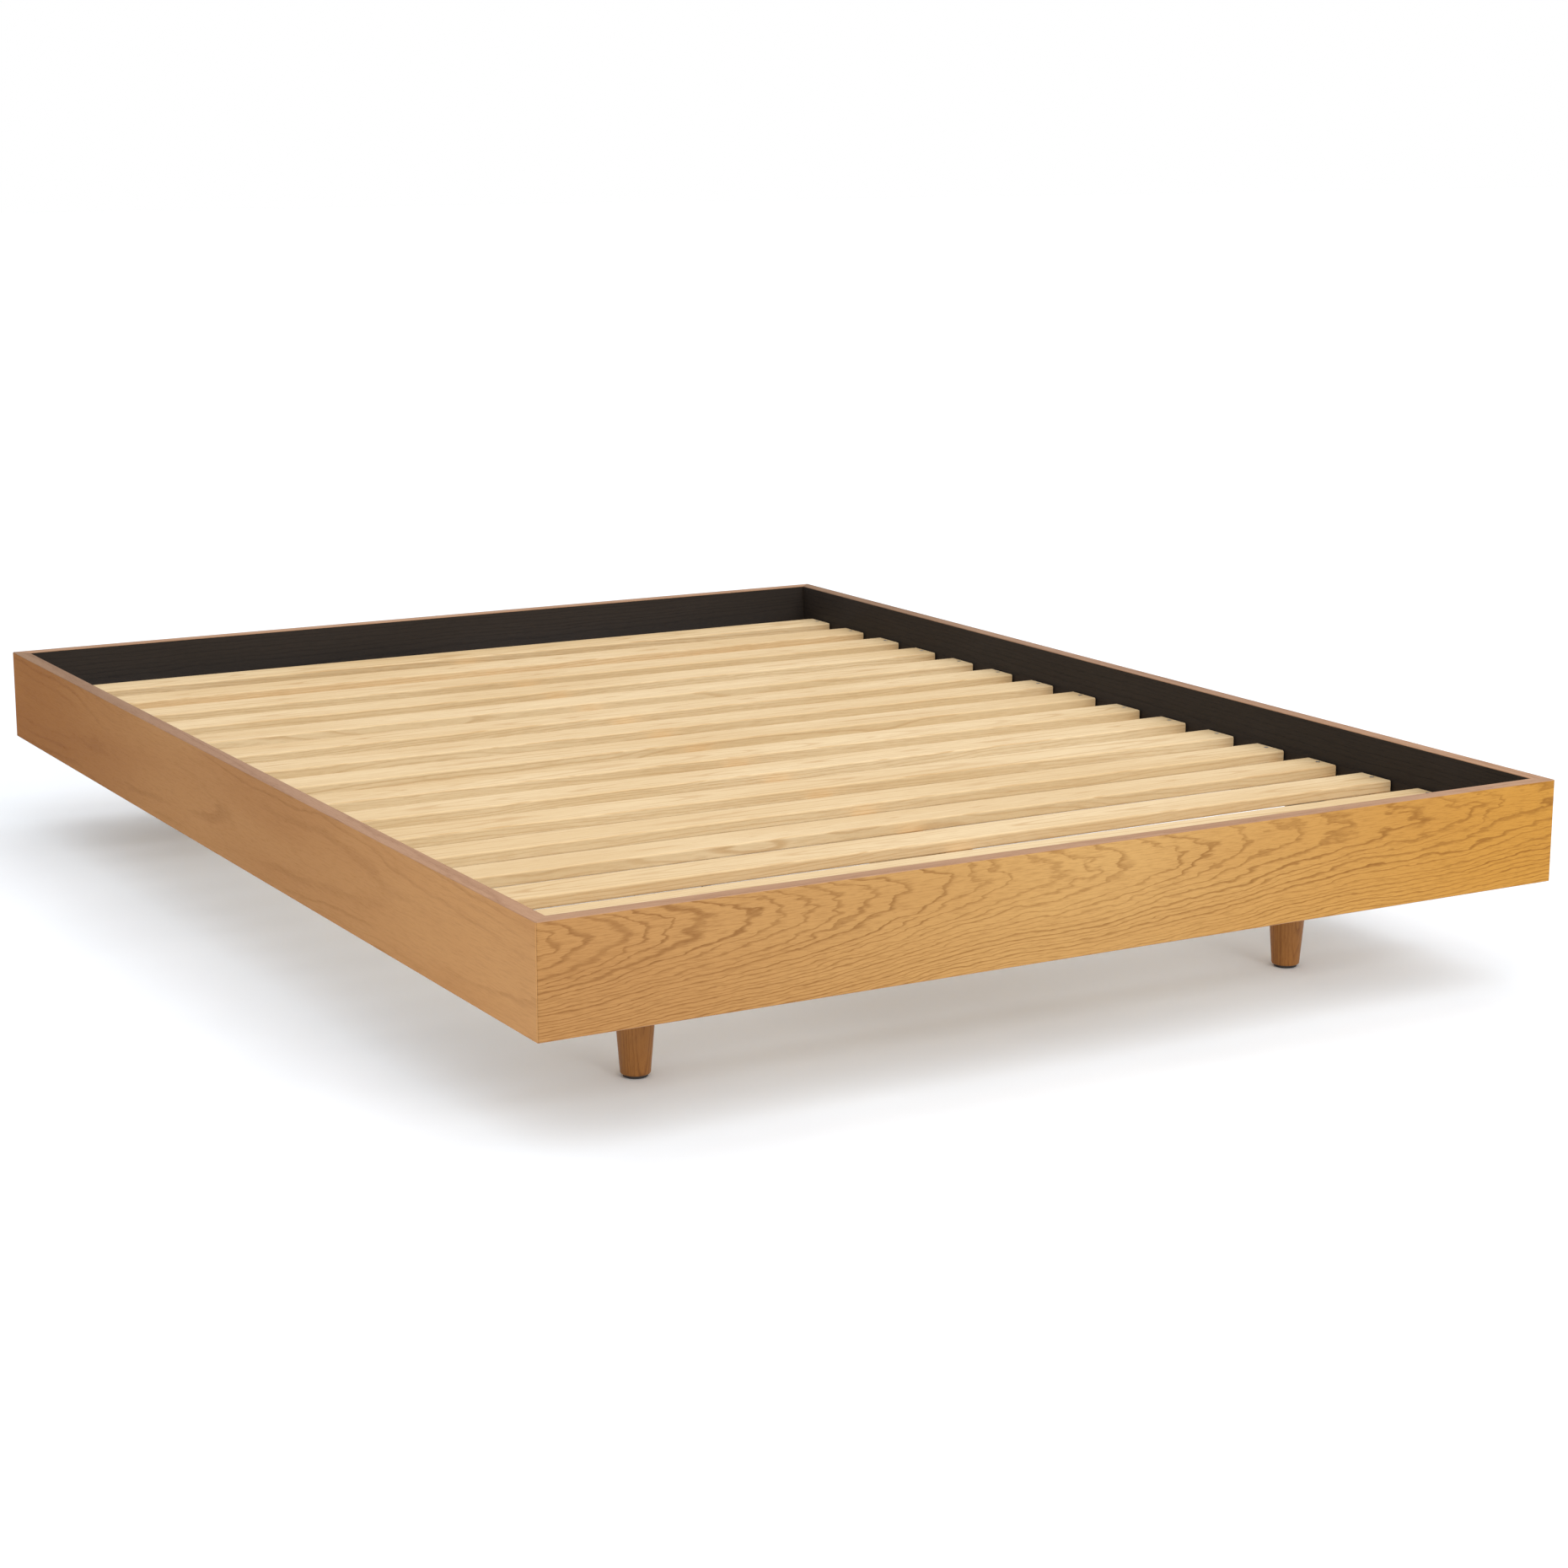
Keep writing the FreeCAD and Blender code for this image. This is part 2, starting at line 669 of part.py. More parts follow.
for corner, (across, along) in LEG_SPOTS.items():
    leg = new_body(corner + "_leg", (across, along, "glide_thickness"))
    turned(leg, [
        ("0", "0"),
        ("leg_foot_radius", "0"),
        ("leg_top_radius", LEG_LENGTH),
        ("0", LEG_LENGTH),
    ])
    round_edges(leg, "leg_foot_round",
                lambda edge: edge.BoundBox.ZMax < 0.01 and edge.BoundBox.XLength > 1
                and edge.BoundBox.YLength > 1)
    top_z = value(LEG_LENGTH)
    round_edges(leg, "leg_top_round",
                lambda edge: edge.BoundBox.ZMin > top_z - 0.01 and edge.BoundBox.XLength > 1
                and edge.BoundBox.YLength > 1)
    pilot_holes(leg, "XY_Plane", LEG_LENGTH, [("0", "0")], -1, "hanger_down + hanger_room_down",
                "hanger_radius")
    pilot_holes(leg, "XY_Plane", "0", [("0", "0")], 1, "glide_pin_length + fit",
                "glide_pin_radius")

for corner, (across, along) in LEG_SPOTS.items():
    plate = new_body(
        corner + "_leg_plate", (across, along, "floor_gap + inner_lift - plate_thickness")
    )
    outline = [
        (signed(side, "plate_side / 2"), signed(end, "plate_side / 2"))
        for side, end in ((-1, -1), (1, -1), (1, 1), (-1, 1))
    ]
    pad(plate, polygon(plate, "XY_Plane", outline), "plate_thickness")
    round_edges(plate, "plate_corner", lambda edge: runs_along(edge, "z"))
    pilot_holes(plate, "XY_Plane", "0", [("0", "0")], 1, "plate_thickness", "hanger_radius")
    screw_holes(plate, "XY_Plane", "0", plate_spots("0", "0"), 1, "plate_thickness")

for corner, (across, along) in LEG_SPOTS.items():
    glide = new_body(corner + "_leg_glide", (across, along, "0"))
    pad(glide, circles(glide, "XY_Plane", [("0", "0")], ["glide_radius"]), "glide_thickness")
    round_edges(glide, "glide_round", lambda edge: edge.BoundBox.ZMax < 0.01)
    pin = circles(glide, "XY_Plane", [("0", "0")], ["glide_pin_radius"], "glide_thickness")
    pad(glide, pin, "glide_pin_length")

screws = new_body("leg_plate_screws", ("0", "0", "floor_gap - plate_thickness"))
spots = [spot for across, along in LEG_SPOTS.values() for spot in plate_spots(across, along)]
fasteners(screws, "XY_Plane", "inner_lift", spots, 1, "screw_radius", "plate_screw_length",
          SUNK_HEAD)
fasteners(screws, "XY_Plane", BEAM_UNDER, CENTRE_SCREWS, 1, "screw_radius",
          "plate_screw_length", SUNK_HEAD)

hangers = new_body("leg_hanger_bolts", ("0", "0", "floor_gap - plate_thickness - hanger_down"))
HANGER_LENGTH = "hanger_down + plate_thickness + hanger_up"
pad(hangers, circles(hangers, "XY_Plane", LEG_SPOTS.values(), ["hanger_radius"], "inner_lift"),
    HANGER_LENGTH)
pad(hangers, circles(hangers, "XY_Plane", [("0", "0")], ["hanger_radius"], BEAM_UNDER),
    HANGER_LENGTH)

# --- centre support leg with its levelling foot ------------------------------

plate = new_body("centre_leg_plate", ("0", "0", CENTRE_LEG_TOP))
outline = [
    (signed(side, "beam_width / 2"), signed(end, "plate_side / 2"))
    for side, end in ((-1, -1), (1, -1), (1, 1), (-1, 1))
]
pad(plate, polygon(plate, "XY_Plane", outline), "plate_thickness")
pilot_holes(plate, "XY_Plane", "0", [("0", "0")], 1, "plate_thickness", "hanger_radius")
screw_holes(plate, "XY_Plane", "0", CENTRE_SCREWS, 1, "plate_thickness")

leg = new_body("centre_support_leg", ("0", "0", "centre_leg_lift"))
CENTRE_LEG_LENGTH = "(" + CENTRE_LEG_TOP + " - centre_leg_lift)"
turned(leg, [
    ("0", "0"),
    ("centre_leg_foot_radius", "0"),
    ("centre_leg_top_radius", CENTRE_LEG_LENGTH),
    ("0", CENTRE_LEG_LENGTH),
])
pilot_holes(leg, "XY_Plane", CENTRE_LEG_LENGTH, [("0", "0")], -1, "hanger_down + hanger_room_down",
            "hanger_radius")
pilot_holes(leg, "XY_Plane", "0", [("0", "0")], 1, "insert_length + insert_room",
            "insert_radius")
pilot_holes(leg, "XY_Plane", "0", [("0", "0")], 1,
            "stem_top - centre_leg_lift + stem_travel_room", "stem_radius + stem_bore_gap")

insert = new_body("levelling_foot_insert", ("0", "0", "centre_leg_lift"))
sleeve = circles(insert, "XY_Plane", [("0", "0")], ["insert_radius", "stem_radius + fit"])
pad(insert, sleeve, "insert_length")

foot_pad = new_body("levelling_foot_pad")
turned(foot_pad, [
    ("0", "0"),
    ("pad_radius", "0"),
    ("pad_radius", "pad_rim"),
    ("pad_neck_radius", "pad_height"),
    ("stem_radius + fit", "pad_height"),
    ("stem_radius + fit", "stem_seat - 2 * fit"),
    ("0", "stem_seat - 2 * fit"),
])

stem = new_body("levelling_foot_stem")
pad(stem, circles(stem, "XY_Plane", [("0", "0")], ["stem_radius"], "stem_seat"),
    "stem_top - stem_seat")
hexagon = [
    ("collar_radius * (%.6f)" % math.cos(math.radians(60 * corner)),
     "collar_radius * (%.6f)" % math.sin(math.radians(60 * corner)))
    for corner in range(6)
]
pad(stem, polygon(stem, "XY_Plane", hexagon, "pad_height + collar_gap"), "collar_height")

# --- slats -------------------------------------------------------------------

SLAT_END = "(" + INNER_WIDTH + " / 2 - slat_side_gap)"
SLAT_SCREW_X = "(%s / 2 - %s)" % (INNER_WIDTH, SLAT_SCREW_IN)
for number, line in enumerate(SLAT_LINES, start=1):
    slat = new_body("slat_%02d" % number, ("0", line, "floor_gap + " + DECK_UNDER))
    outline = [
        (signed(side, SLAT_END), signed(end, "slat_width / 2"))
        for side, end in ((-1, -1), (1, -1), (1, 1), (-1, 1))
    ]
    pad(slat, polygon(slat, "XY_Plane", outline), "slat_thickness")
    round_edges(slat, "slat_round", lambda edge: runs_along(edge, "x"))
    spots = [(signed(side, SLAT_SCREW_X), "0") for side in (1, -1)]
    screw_holes(slat, "XY_Plane", "slat_thickness", spots, -1, "slat_thickness")

screws = new_body("slat_screws", ("0", "0", "floor_gap + %s + slat_thickness" % DECK_UNDER))
spots = [(signed(side, SLAT_SCREW_X), line) for side in (1, -1) for line in SLAT_LINES]
fasteners(screws, "XY_Plane", "0", spots, -1, "screw_radius", "slat_screw_length", SUNK_HEAD)

# --- check and write ---------------------------------------------------------

doc.recompute()
for item in doc.Objects:
    if "Invalid" in item.State or "Error" in item.State:
        raise ValueError(item.Label + " did not recompute: " + ", ".join(item.State))
os.makedirs("parts", exist_ok=True)
for node in nodes:
    if node.Shape.isNull() or not node.Shape.isValid() or node.Shape.Volume <= 0:
        raise ValueError(node.Label + " has no valid solid")
    node.Shape.exportStep("parts/" + node.Label + ".step")
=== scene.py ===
"""Looks for a low wooden bed frame: veneered rails, turned legs, slat deck, hardware, studio."""

import logging
import math
from dataclasses import dataclass, field, replace
from enum import Enum
from typing import Callable, Iterable, Optional, Sequence, Union

import bmesh
import bpy
from mathutils import Matrix, Vector

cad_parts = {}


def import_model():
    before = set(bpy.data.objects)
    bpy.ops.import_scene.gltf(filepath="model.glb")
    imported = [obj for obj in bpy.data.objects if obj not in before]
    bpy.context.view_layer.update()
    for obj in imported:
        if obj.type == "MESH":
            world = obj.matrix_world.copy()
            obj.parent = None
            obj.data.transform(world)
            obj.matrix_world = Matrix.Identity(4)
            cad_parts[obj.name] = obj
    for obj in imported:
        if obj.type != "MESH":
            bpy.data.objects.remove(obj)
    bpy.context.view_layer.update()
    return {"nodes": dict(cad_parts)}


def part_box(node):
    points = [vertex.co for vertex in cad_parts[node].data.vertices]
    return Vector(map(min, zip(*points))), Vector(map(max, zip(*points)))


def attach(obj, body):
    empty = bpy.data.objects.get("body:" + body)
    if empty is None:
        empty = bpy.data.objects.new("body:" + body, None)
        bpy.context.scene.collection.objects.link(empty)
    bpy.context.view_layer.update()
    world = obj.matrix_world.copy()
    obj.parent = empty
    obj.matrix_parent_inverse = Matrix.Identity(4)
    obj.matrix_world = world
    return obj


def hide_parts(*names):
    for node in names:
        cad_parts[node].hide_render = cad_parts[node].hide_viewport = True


LOG = logging.getLogger("bed_frame")

Colour = tuple[float, float, float]
Place = tuple[float, float, float]
Socket = bpy.types.NodeSocket
Value = Union[Socket, float, int]

BODY = "frame"

# How strong each finer octave of noise is, as a share of the one before.
NOISE_ROUGHNESS = 0.5


class Axis(Enum):
    """The way a piece's grain runs."""

    X = 0
    Y = 1
    Z = 2


class Ground(Enum):
    """What lies on each face of a rail."""

    FACE = 0
    EDGE = 1
    INNER = 2
    CORE = 3


# --- building node trees -------------------------------------------------------


class Graph:
    """Short ways to add nodes to one node tree."""

    def __init__(self, tree: bpy.types.NodeTree) -> None:
        """Wrap a node tree."""
        self.tree = tree

    def node(self, kind: str, **settings: object) -> bpy.types.Node:
        """Add a node and set its properties.

        Args:
            kind: the node's type name.
            **settings: properties to set on it.

        Returns:
            The new node.
        """
        node = self.tree.nodes.new(kind)
        for name, value in settings.items():
            setattr(node, name, value)
        return node

    def put(self, socket: Socket, value: object) -> None:
        """Link a socket into an input, or set the input to a constant.

        Args:
            socket: the input.
            value: an output socket, or a constant of the input's type.
        """
        if isinstance(value, bpy.types.NodeSocket):
            self.tree.links.new(value, socket)
        else:
            socket.default_value = value

    def math(self, operation: str, *values: Value) -> Socket:
        """One scalar operation.

        Args:
            operation: a Math node operation.
            *values: sockets or numbers, in order.

        Returns:
            The result's socket.
        """
        node = self.node("ShaderNodeMath", operation=operation)
        for socket, value in zip(node.inputs, values):
            self.put(socket, value)
        return node.outputs[0]

    def vector(self, x: Value = 0.0, y: Value = 0.0, z: Value = 0.0) -> Socket:
        """A vector from three scalars.

        Args:
            x: its first part.
            y: its second part.
            z: its third part.

        Returns:
            The vector's socket.
        """
        node = self.node("ShaderNodeCombineXYZ")
        for socket, value in zip(node.inputs, (x, y, z)):
            self.put(socket, value)
        return node.outputs[0]

    def split(self, vector: Socket) -> tuple[Socket, Socket, Socket]:
        """The three scalars of a vector.

        Args:
            vector: the vector's socket.

        Returns:
            A socket for each part.
        """
        node = self.node("ShaderNodeSeparateXYZ")
        self.put(node.inputs[0], vector)
        return node.outputs[0], node.outputs[1], node.outputs[2]

    def noise(self, vector: Socket, scale: Value = 1.0, detail: float = 2.0) -> Socket:
        """Smooth noise between 0 and 1.

        Args:
            vector: where to sample it.
            scale: cells per unit.
            detail: octaves.

        Returns:
            The noise value's socket.
        """
        node = self.node("ShaderNodeTexNoise")
        self.put(node.inputs["Vector"], vector)
        self.put(node.inputs["Scale"], scale)
        self.put(node.inputs["Detail"], detail)
        self.put(node.inputs["Roughness"], NOISE_ROUGHNESS)
        return node.outputs["Fac"]

    def ease(
        self, value: Value, low: Value, high: Value, start: Value = 0.0, end: Value = 1.0
    ) -> Socket:
        """A smooth step from start to end while value goes from low to high.

        Args:
            value: the scalar to read.
            low: where the step begins.
            high: where it ends.
            start: the result below low.
            end: the result above high.

        Returns:
            The result's socket.
        """
        node = self.node("ShaderNodeMapRange", interpolation_type="SMOOTHSTEP")
        for socket, given in zip(node.inputs, (value, low, high, start, end)):
            self.put(socket, given)
        return node.outputs[0]

    def blend(self, factor: Value, first: object, second: object, mode: str = "MIX") -> Socket:
        """Mix two colours.

        Args:
            factor: 0 gives the first colour, 1 the second.
            first: a colour or a socket.
            second: a colour or a socket.
            mode: the blend type.

        Returns:
            The colour's socket.
        """
        node = self.node("ShaderNodeMix", data_type="RGBA", blend_type=mode)
        self.put(node.inputs["Factor"], factor)
        for socket, colour in ((node.inputs[6], first), (node.inputs[7], second)):
            self.put(socket, (*colour, 1.0) if isinstance(colour, tuple) else colour)
        return node.outputs[2]

    def use(self, group: bpy.types.NodeTree, **inputs: object) -> bpy.types.Node:
        """Add a node group and fill its inputs by name.

        Args:
            group: the node group.
            **inputs: sockets or numbers for its inputs.

        Returns:
            The group's node.
        """
        node = self.node("ShaderNodeGroup", node_tree=group)
        for name, value in inputs.items():
            self.put(node.inputs[name.replace("_", " ")], value)
        return node


def new_group(
    name: str, inputs: Sequence[tuple[str, str]], outputs: Sequence[tuple[str, str]]
) -> tuple[bpy.types.NodeTree, Graph, bpy.types.Node, bpy.types.Node]:
    """An empty shader node group with named inputs and outputs.

    Args:
        name: the group's name.
        inputs: (name, socket type) for each input.
        outputs: (name, socket type) for each output.

    Returns:
        The tree, its graph, its input node and its output node.
    """
    tree = bpy.data.node_groups.new(name, "ShaderNodeTree")
    for label, kind in inputs:
        tree.interface.new_socket(label, in_out="INPUT", socket_type=kind)
    for label, kind in outputs:
        tree.interface.new_socket(label, in_out="OUTPUT", socket_type=kind)
    graph = Graph(tree)
    return tree, graph, graph.node("NodeGroupInput"), graph.node("NodeGroupOutput")


FLOAT, VECTOR = "NodeSocketFloat", "NodeSocketVector"
# What a plank's figure is given beside its grain coordinates, and what it gives back.
FIGURE_INPUTS = (
    "Seed", "Spacing", "Pith", "Slope", "Curve", "Rise", "Wander", "Jag", "Patchy",
)
FIGURE_OUTPUTS = ("Rings", "Pores", "Fibre", "Tone", "Height")


@dataclass(frozen=True)
class Ripple:
    """Noise stretched along the grain: cells a metre each way, where it starts, octaves."""

    along: float
    across: float
    shift: float
    detail: float = 2.0


# What bends the growth rings, from the whole board down to single teeth.
HEART_WANDER = Ripple(2.2, 0, 0.3)
HEART_DIP = Ripple(3.1, 0, 5.1)
RING_SWELL = Ripple(5, 14, 9.4)
RING_ROUGHNESS = Ripple(15, 66, 2.7, 3.0)
RING_TEETH = Ripple(38, 150, 7.9)
# What varies along one ring, and from one part of the board to another.
BAND_WIDTH = Ripple(24, 90, 3.1)
FADED_PATCH = Ripple(3.0, 24, 8.2)
BOARD_TONE = Ripple(1.7, 9, 4.2)
# Fine lines along the grain.
PORE_STREAK = Ripple(75, 1250, 1.1, 1.0)
WOOD_FIBRE = Ripple(34, 520, 6.6, 3.0)
# Shares of the heart's wander and of the rings' jaggedness.
DIP_SHARE = 0.12
SWELL_SHARE = 4.0
ROUGHNESS_SHARE = 3.6
TEETH_SHARE = 1.5
# A ring darkens over the first part of its width and fades over the next.
BAND_PEAK = 0.12
BAND_FADE = 0.18
BAND_SPREAD = 0.5
# How unevenly the rings are spaced: noise cells a ring, and its strength in rings.
UNEVEN_CELLS = 0.45
UNEVEN_RINGS = 1.9
UNEVEN_START = 3.3
# The faintest ring's strength, and the share that pores keep between rings.
FAINTEST_RING = 0.6
PORES_BETWEEN = 0.35
# How far one board's noise lies from the next one's, along and through it.
SEED_ALONG = 3.7
SEED_THROUGH = 1.9
# Where the noise turns into a dark patch of rings, and where into a pore.
PATCH_LOW, PATCH_HIGH = 0.38, 0.62
PORE_LOW, PORE_HIGH = 0.55, 0.70
# Octaves of noise in a metal or plastic surface's grain and in its smudges.
GRAIN_OCTAVES, SMUDGE_OCTAVES = 2.0, 4.0
# How much the fibre stands up and the rings sink, against the depth of a pore.
FIBRE_STAND = 0.4
RING_SINK = -0.3


class Effects:
    """Node groups that several finishes share, each built on first use."""

    def __init__(self) -> None:
        """Start with no groups built."""
        self.built: dict[str, bpy.types.NodeTree] = {}

    def get(self, name: str, build: Callable[[], bpy.types.NodeTree]) -> bpy.types.NodeTree:
        """The named group, built if it isn't there yet.

        Args:
            name: the group's name.
            build: makes the group.

        Returns:
            The group.
        """
        if name not in self.built:
            self.built[name] = build()
        return self.built[name]

    def figure(self) -> bpy.types.NodeTree:
        """Annual rings, pores and tone of a plank whose grain runs along X."""
        return self.get("Plank figure", self._build_figure)

    def speckle(self) -> bpy.types.NodeTree:
        """Fine grain and broad smudges for metal and plastic."""
        return self.get("Surface speckle", self._build_speckle)

    def _build_figure(self) -> bpy.types.NodeTree:
        """Rings round a wandering pith that dips below the plank's face.

        Returns:
            The group.
        """
        tree, g, given, result = new_group(
            "Plank figure",
            [("Grain", VECTOR), *((name, FLOAT) for name in FIGURE_INPUTS)],
            [(name, FLOAT) for name in FIGURE_OUTPUTS],
        )
        out = given.outputs
        along, across, depth = g.split(out["Grain"])
        seed = out["Seed"]

        def sample(ripple: Ripple) -> Socket:
            """One ripple's noise on the grain coordinates, centred on 0.

            Args:
                ripple: the noise.

            Returns:
                The value's socket.
            """
            start = g.math("MULTIPLY", seed, SEED_ALONG)
            layer = g.math("MULTIPLY", seed, SEED_THROUGH)
            place = g.vector(
                g.math("MULTIPLY_ADD", along, ripple.along, start),
                g.math("MULTIPLY_ADD", across, ripple.across, ripple.shift),
                g.math("MULTIPLY_ADD", depth, ripple.across, layer),
            )
            return g.math("SUBTRACT", g.noise(place, detail=ripple.detail), 0.5)

        def swing(ripple: Ripple, size: Socket, share: float) -> Socket:
            """One ripple's noise, centred on 0, as a share of a size."""
            return g.math("MULTIPLY", sample(ripple), g.math("MULTIPLY", size, share))

        def level(ripple: Ripple) -> Socket:
            """One ripple's noise between 0 and 1."""
            return g.math("ADD", sample(ripple), 0.5)

        centre = g.math("MULTIPLY_ADD", sample(HEART_WANDER), out["Wander"], out["Rise"])
        dip = swing(HEART_DIP, out["Wander"], DIP_SHARE)
        bend = g.math("MULTIPLY", g.math("MULTIPLY", along, along), out["Curve"])
        below = g.math("MULTIPLY_ADD", along, out["Slope"], g.math("ADD", out["Pith"], dip))
        below = g.math("ADD", g.math("SUBTRACT", below, bend), depth)
        beside = g.math("SUBTRACT", across, centre)
        radius = g.math(
            "SQRT", g.math("MULTIPLY_ADD", beside, beside, g.math("MULTIPLY", below, below))
        )
        rough = swing(RING_ROUGHNESS, out["Jag"], ROUGHNESS_SHARE)
        teeth = swing(RING_TEETH, out["Jag"], TEETH_SHARE)
        broad = swing(RING_SWELL, out["Jag"], SWELL_SHARE)
        radius = g.math("ADD", radius, g.math("ADD", g.math("ADD", rough, teeth), broad))
        count = g.math("DIVIDE", radius, out["Spacing"])
        run = g.vector(g.math("MULTIPLY", count, UNEVEN_CELLS), seed, UNEVEN_START)
        count = g.math("MULTIPLY_ADD", g.noise(run, detail=1.0), UNEVEN_RINGS, count)
        phase = g.math("FRACT", count)
        pick = g.node("ShaderNodeTexWhiteNoise", noise_dimensions="1D")
        g.put(pick.inputs["W"], g.math("FLOOR", count))
        fade = g.math("MULTIPLY_ADD", level(BAND_WIDTH), BAND_SPREAD, BAND_FADE)
        rise = g.ease(phase, 0.0, BAND_PEAK)
        fall = g.ease(phase, BAND_PEAK, fade, 1.0, 0.0)
        band = g.math("MULTIPLY", rise, fall)
        strength = g.math(
            "MULTIPLY_ADD", pick.outputs["Value"], 1.0 - FAINTEST_RING, FAINTEST_RING
        )
        faded = g.math("SUBTRACT", 1.0, out["Patchy"])
        patch = g.ease(level(FADED_PATCH), PATCH_LOW, PATCH_HIGH, faded, 1.0)
        rings = g.math("MULTIPLY", g.math("MULTIPLY", band, strength), patch)
        pores = g.math(
            "MULTIPLY",
            g.ease(level(PORE_STREAK), PORE_LOW, PORE_HIGH),
            g.math("MULTIPLY_ADD", rings, 1.0 - PORES_BETWEEN, PORES_BETWEEN),
        )
        fibre, tone = level(WOOD_FIBRE), level(BOARD_TONE)
        height = g.math("SUBTRACT", g.math("MULTIPLY", fibre, FIBRE_STAND), pores)
        height = g.math("MULTIPLY_ADD", rings, RING_SINK, height)
        for name, value in zip(FIGURE_OUTPUTS, (rings, pores, fibre, tone, height)):
            g.put(result.inputs[name], value)
        return tree

    def _build_speckle(self) -> bpy.types.NodeTree:
        """Fine and broad noise in one group.

        Returns:
            The group.
        """
        tree, g, given, result = new_group(
            "Surface speckle",
            [("Place", VECTOR), ("Fine", FLOAT), ("Broad", FLOAT)],
            [("Grain", FLOAT), ("Smudge", FLOAT)],
        )
        place = given.outputs["Place"]
        g.put(result.inputs["Grain"], g.noise(place, given.outputs["Fine"], GRAIN_OCTAVES))
        g.put(result.inputs["Smudge"], g.noise(place, given.outputs["Broad"], SMUDGE_OCTAVES))
        return tree


EFFECTS = Effects()


# --- finishes ------------------------------------------------------------------


def blank_material(name: str) -> tuple[bpy.types.Material, Graph, bpy.types.Node]:
    """A material with a Principled shader wired to its output.

    Args:
        name: the material's name.

    Returns:
        The material, its graph and the shader node.
    """
    material = bpy.data.materials.new(name)
    material.use_nodes = True
    tree = material.node_tree
    tree.nodes.clear()
    graph = Graph(tree)
    shader = graph.node("ShaderNodeBsdfPrincipled")
    output = graph.node("ShaderNodeOutputMaterial")
    graph.put(output.inputs["Surface"], shader.outputs["BSDF"])
    return material, graph, shader


def add_bump(
    g: Graph, shader: bpy.types.Node, height: Socket, strength: float, depth: float
) -> None:
    """Feed a height into the shader's normal.

    Args:
        g: the material's graph.
        shader: its Principled shader.
        height: the height's socket.
        strength: how much of the bump shows.
        depth: the real height of 1, in metres.
    """
    bump = g.node("ShaderNodeBump")
    g.put(bump.inputs["Strength"], strength)
    g.put(bump.inputs["Distance"], depth)
    g.put(bump.inputs["Height"], height)
    g.put(shader.inputs["Normal"], bump.outputs["Normal"])


@dataclass(frozen=True)
class Cut:
    """How a plank was cut from the log, in metres."""

    spacing: float = 0.0042
    pith: float = 0.03
    slope: float = 0.06
    curve: float = 0.0
    rise: float = 0.0
    wander: float = 0.05
    jag: float = 0.0012
    patchy: float = 0.3


@dataclass(frozen=True)
class Drift:
    """Tints along a board at its two ends and its middle: painted shade and painted light along the
    board, mixed with the wood's own tone.
    """

    low: Colour
    high: Colour
    middle: Colour = (1.0, 1.0, 1.0)


@dataclass(frozen=True)
class WoodTones:
    """The colours of one wood and how strongly its figure shows."""

    light: Colour
    warm: Colour
    ring: Colour
    pore: Colour
    ring_share: float = 0.75
    pore_share: float = 0.5
    fibre_share: float = 0.35
    roughness: float = 0.52
    specular: float = 0.12
    coat: float = 0.02
    bump: float = 0.25


OAK_FACE = WoodTones(
    light=(0.534, 0.307, 0.106), warm=(0.491, 0.270, 0.089), ring=(0.270, 0.124, 0.034),
    pore=(0.205, 0.088, 0.026), ring_share=0.95, pore_share=0.6, fibre_share=0.36, specular=0.08,
    coat=0.0,
)
# Side rails: a quieter leaf of the same oak, its tones darker than the foot rail's to paint the
# shade on the side faces.
OAK_SIDE_SHADED = WoodTones(
    light=(0.447, 0.218, 0.077), warm=(0.409, 0.189, 0.064), ring=(0.285, 0.122, 0.038),
    pore=(0.228, 0.095, 0.030), ring_share=0.42, pore_share=0.3, fibre_share=0.25,
    roughness=0.6, specular=0.06, coat=0.0,
)
OAK_EDGE = WoodTones(
    light=(0.430, 0.246, 0.141), warm=(0.380, 0.207, 0.113), ring=(0.260, 0.125, 0.060),
    pore=(0.200, 0.090, 0.040), ring_share=0.55, pore_share=0.55,
)
BLACK_STAIN = WoodTones(
    light=(0.028, 0.021, 0.017), warm=(0.022, 0.016, 0.012), ring=(0.014, 0.010, 0.008),
    pore=(0.009, 0.007, 0.006), roughness=0.6, specular=0.2,
)
CORE_BOARD = WoodTones(
    light=(0.42, 0.29, 0.17), warm=(0.36, 0.24, 0.14), ring=(0.30, 0.20, 0.11),
    pore=(0.2, 0.13, 0.07), roughness=0.8, coat=0.0,
)
BROWN_OAK = WoodTones(
    light=(0.412, 0.170, 0.041), warm=(0.352, 0.141, 0.031), ring=(0.215, 0.079, 0.018),
    pore=(0.130, 0.048, 0.012), ring_share=0.7, roughness=0.46, specular=0.25, coat=0.06,
)
SPRUCE = WoodTones(
    light=(0.700, 0.520, 0.300), warm=(0.620, 0.430, 0.230), ring=(0.470, 0.280, 0.120),
    pore=(0.420, 0.250, 0.120), ring_share=0.7, pore_share=0.15, roughness=0.6, coat=0.0,
)
PINE = WoodTones(
    light=(0.740, 0.560, 0.330), warm=(0.660, 0.470, 0.250), ring=(0.500, 0.300, 0.130),
    pore=(0.450, 0.280, 0.130), ring_share=0.7, pore_share=0.12, roughness=0.55, coat=0.03,
)


# How much rougher a pore is than the face, and how deep it is in metres.
PORE_ROUGHNESS = 0.2
PORE_DEPTH = 0.0004
LACQUER_ROUGHNESS = 0.4
# Where the noise turns from the light tone to the warm one, and where into dark fibre.
TONE_LOW, TONE_HIGH = 0.3, 0.7
FIBRE_LOW, FIBRE_HIGH = 0.42, 0.75


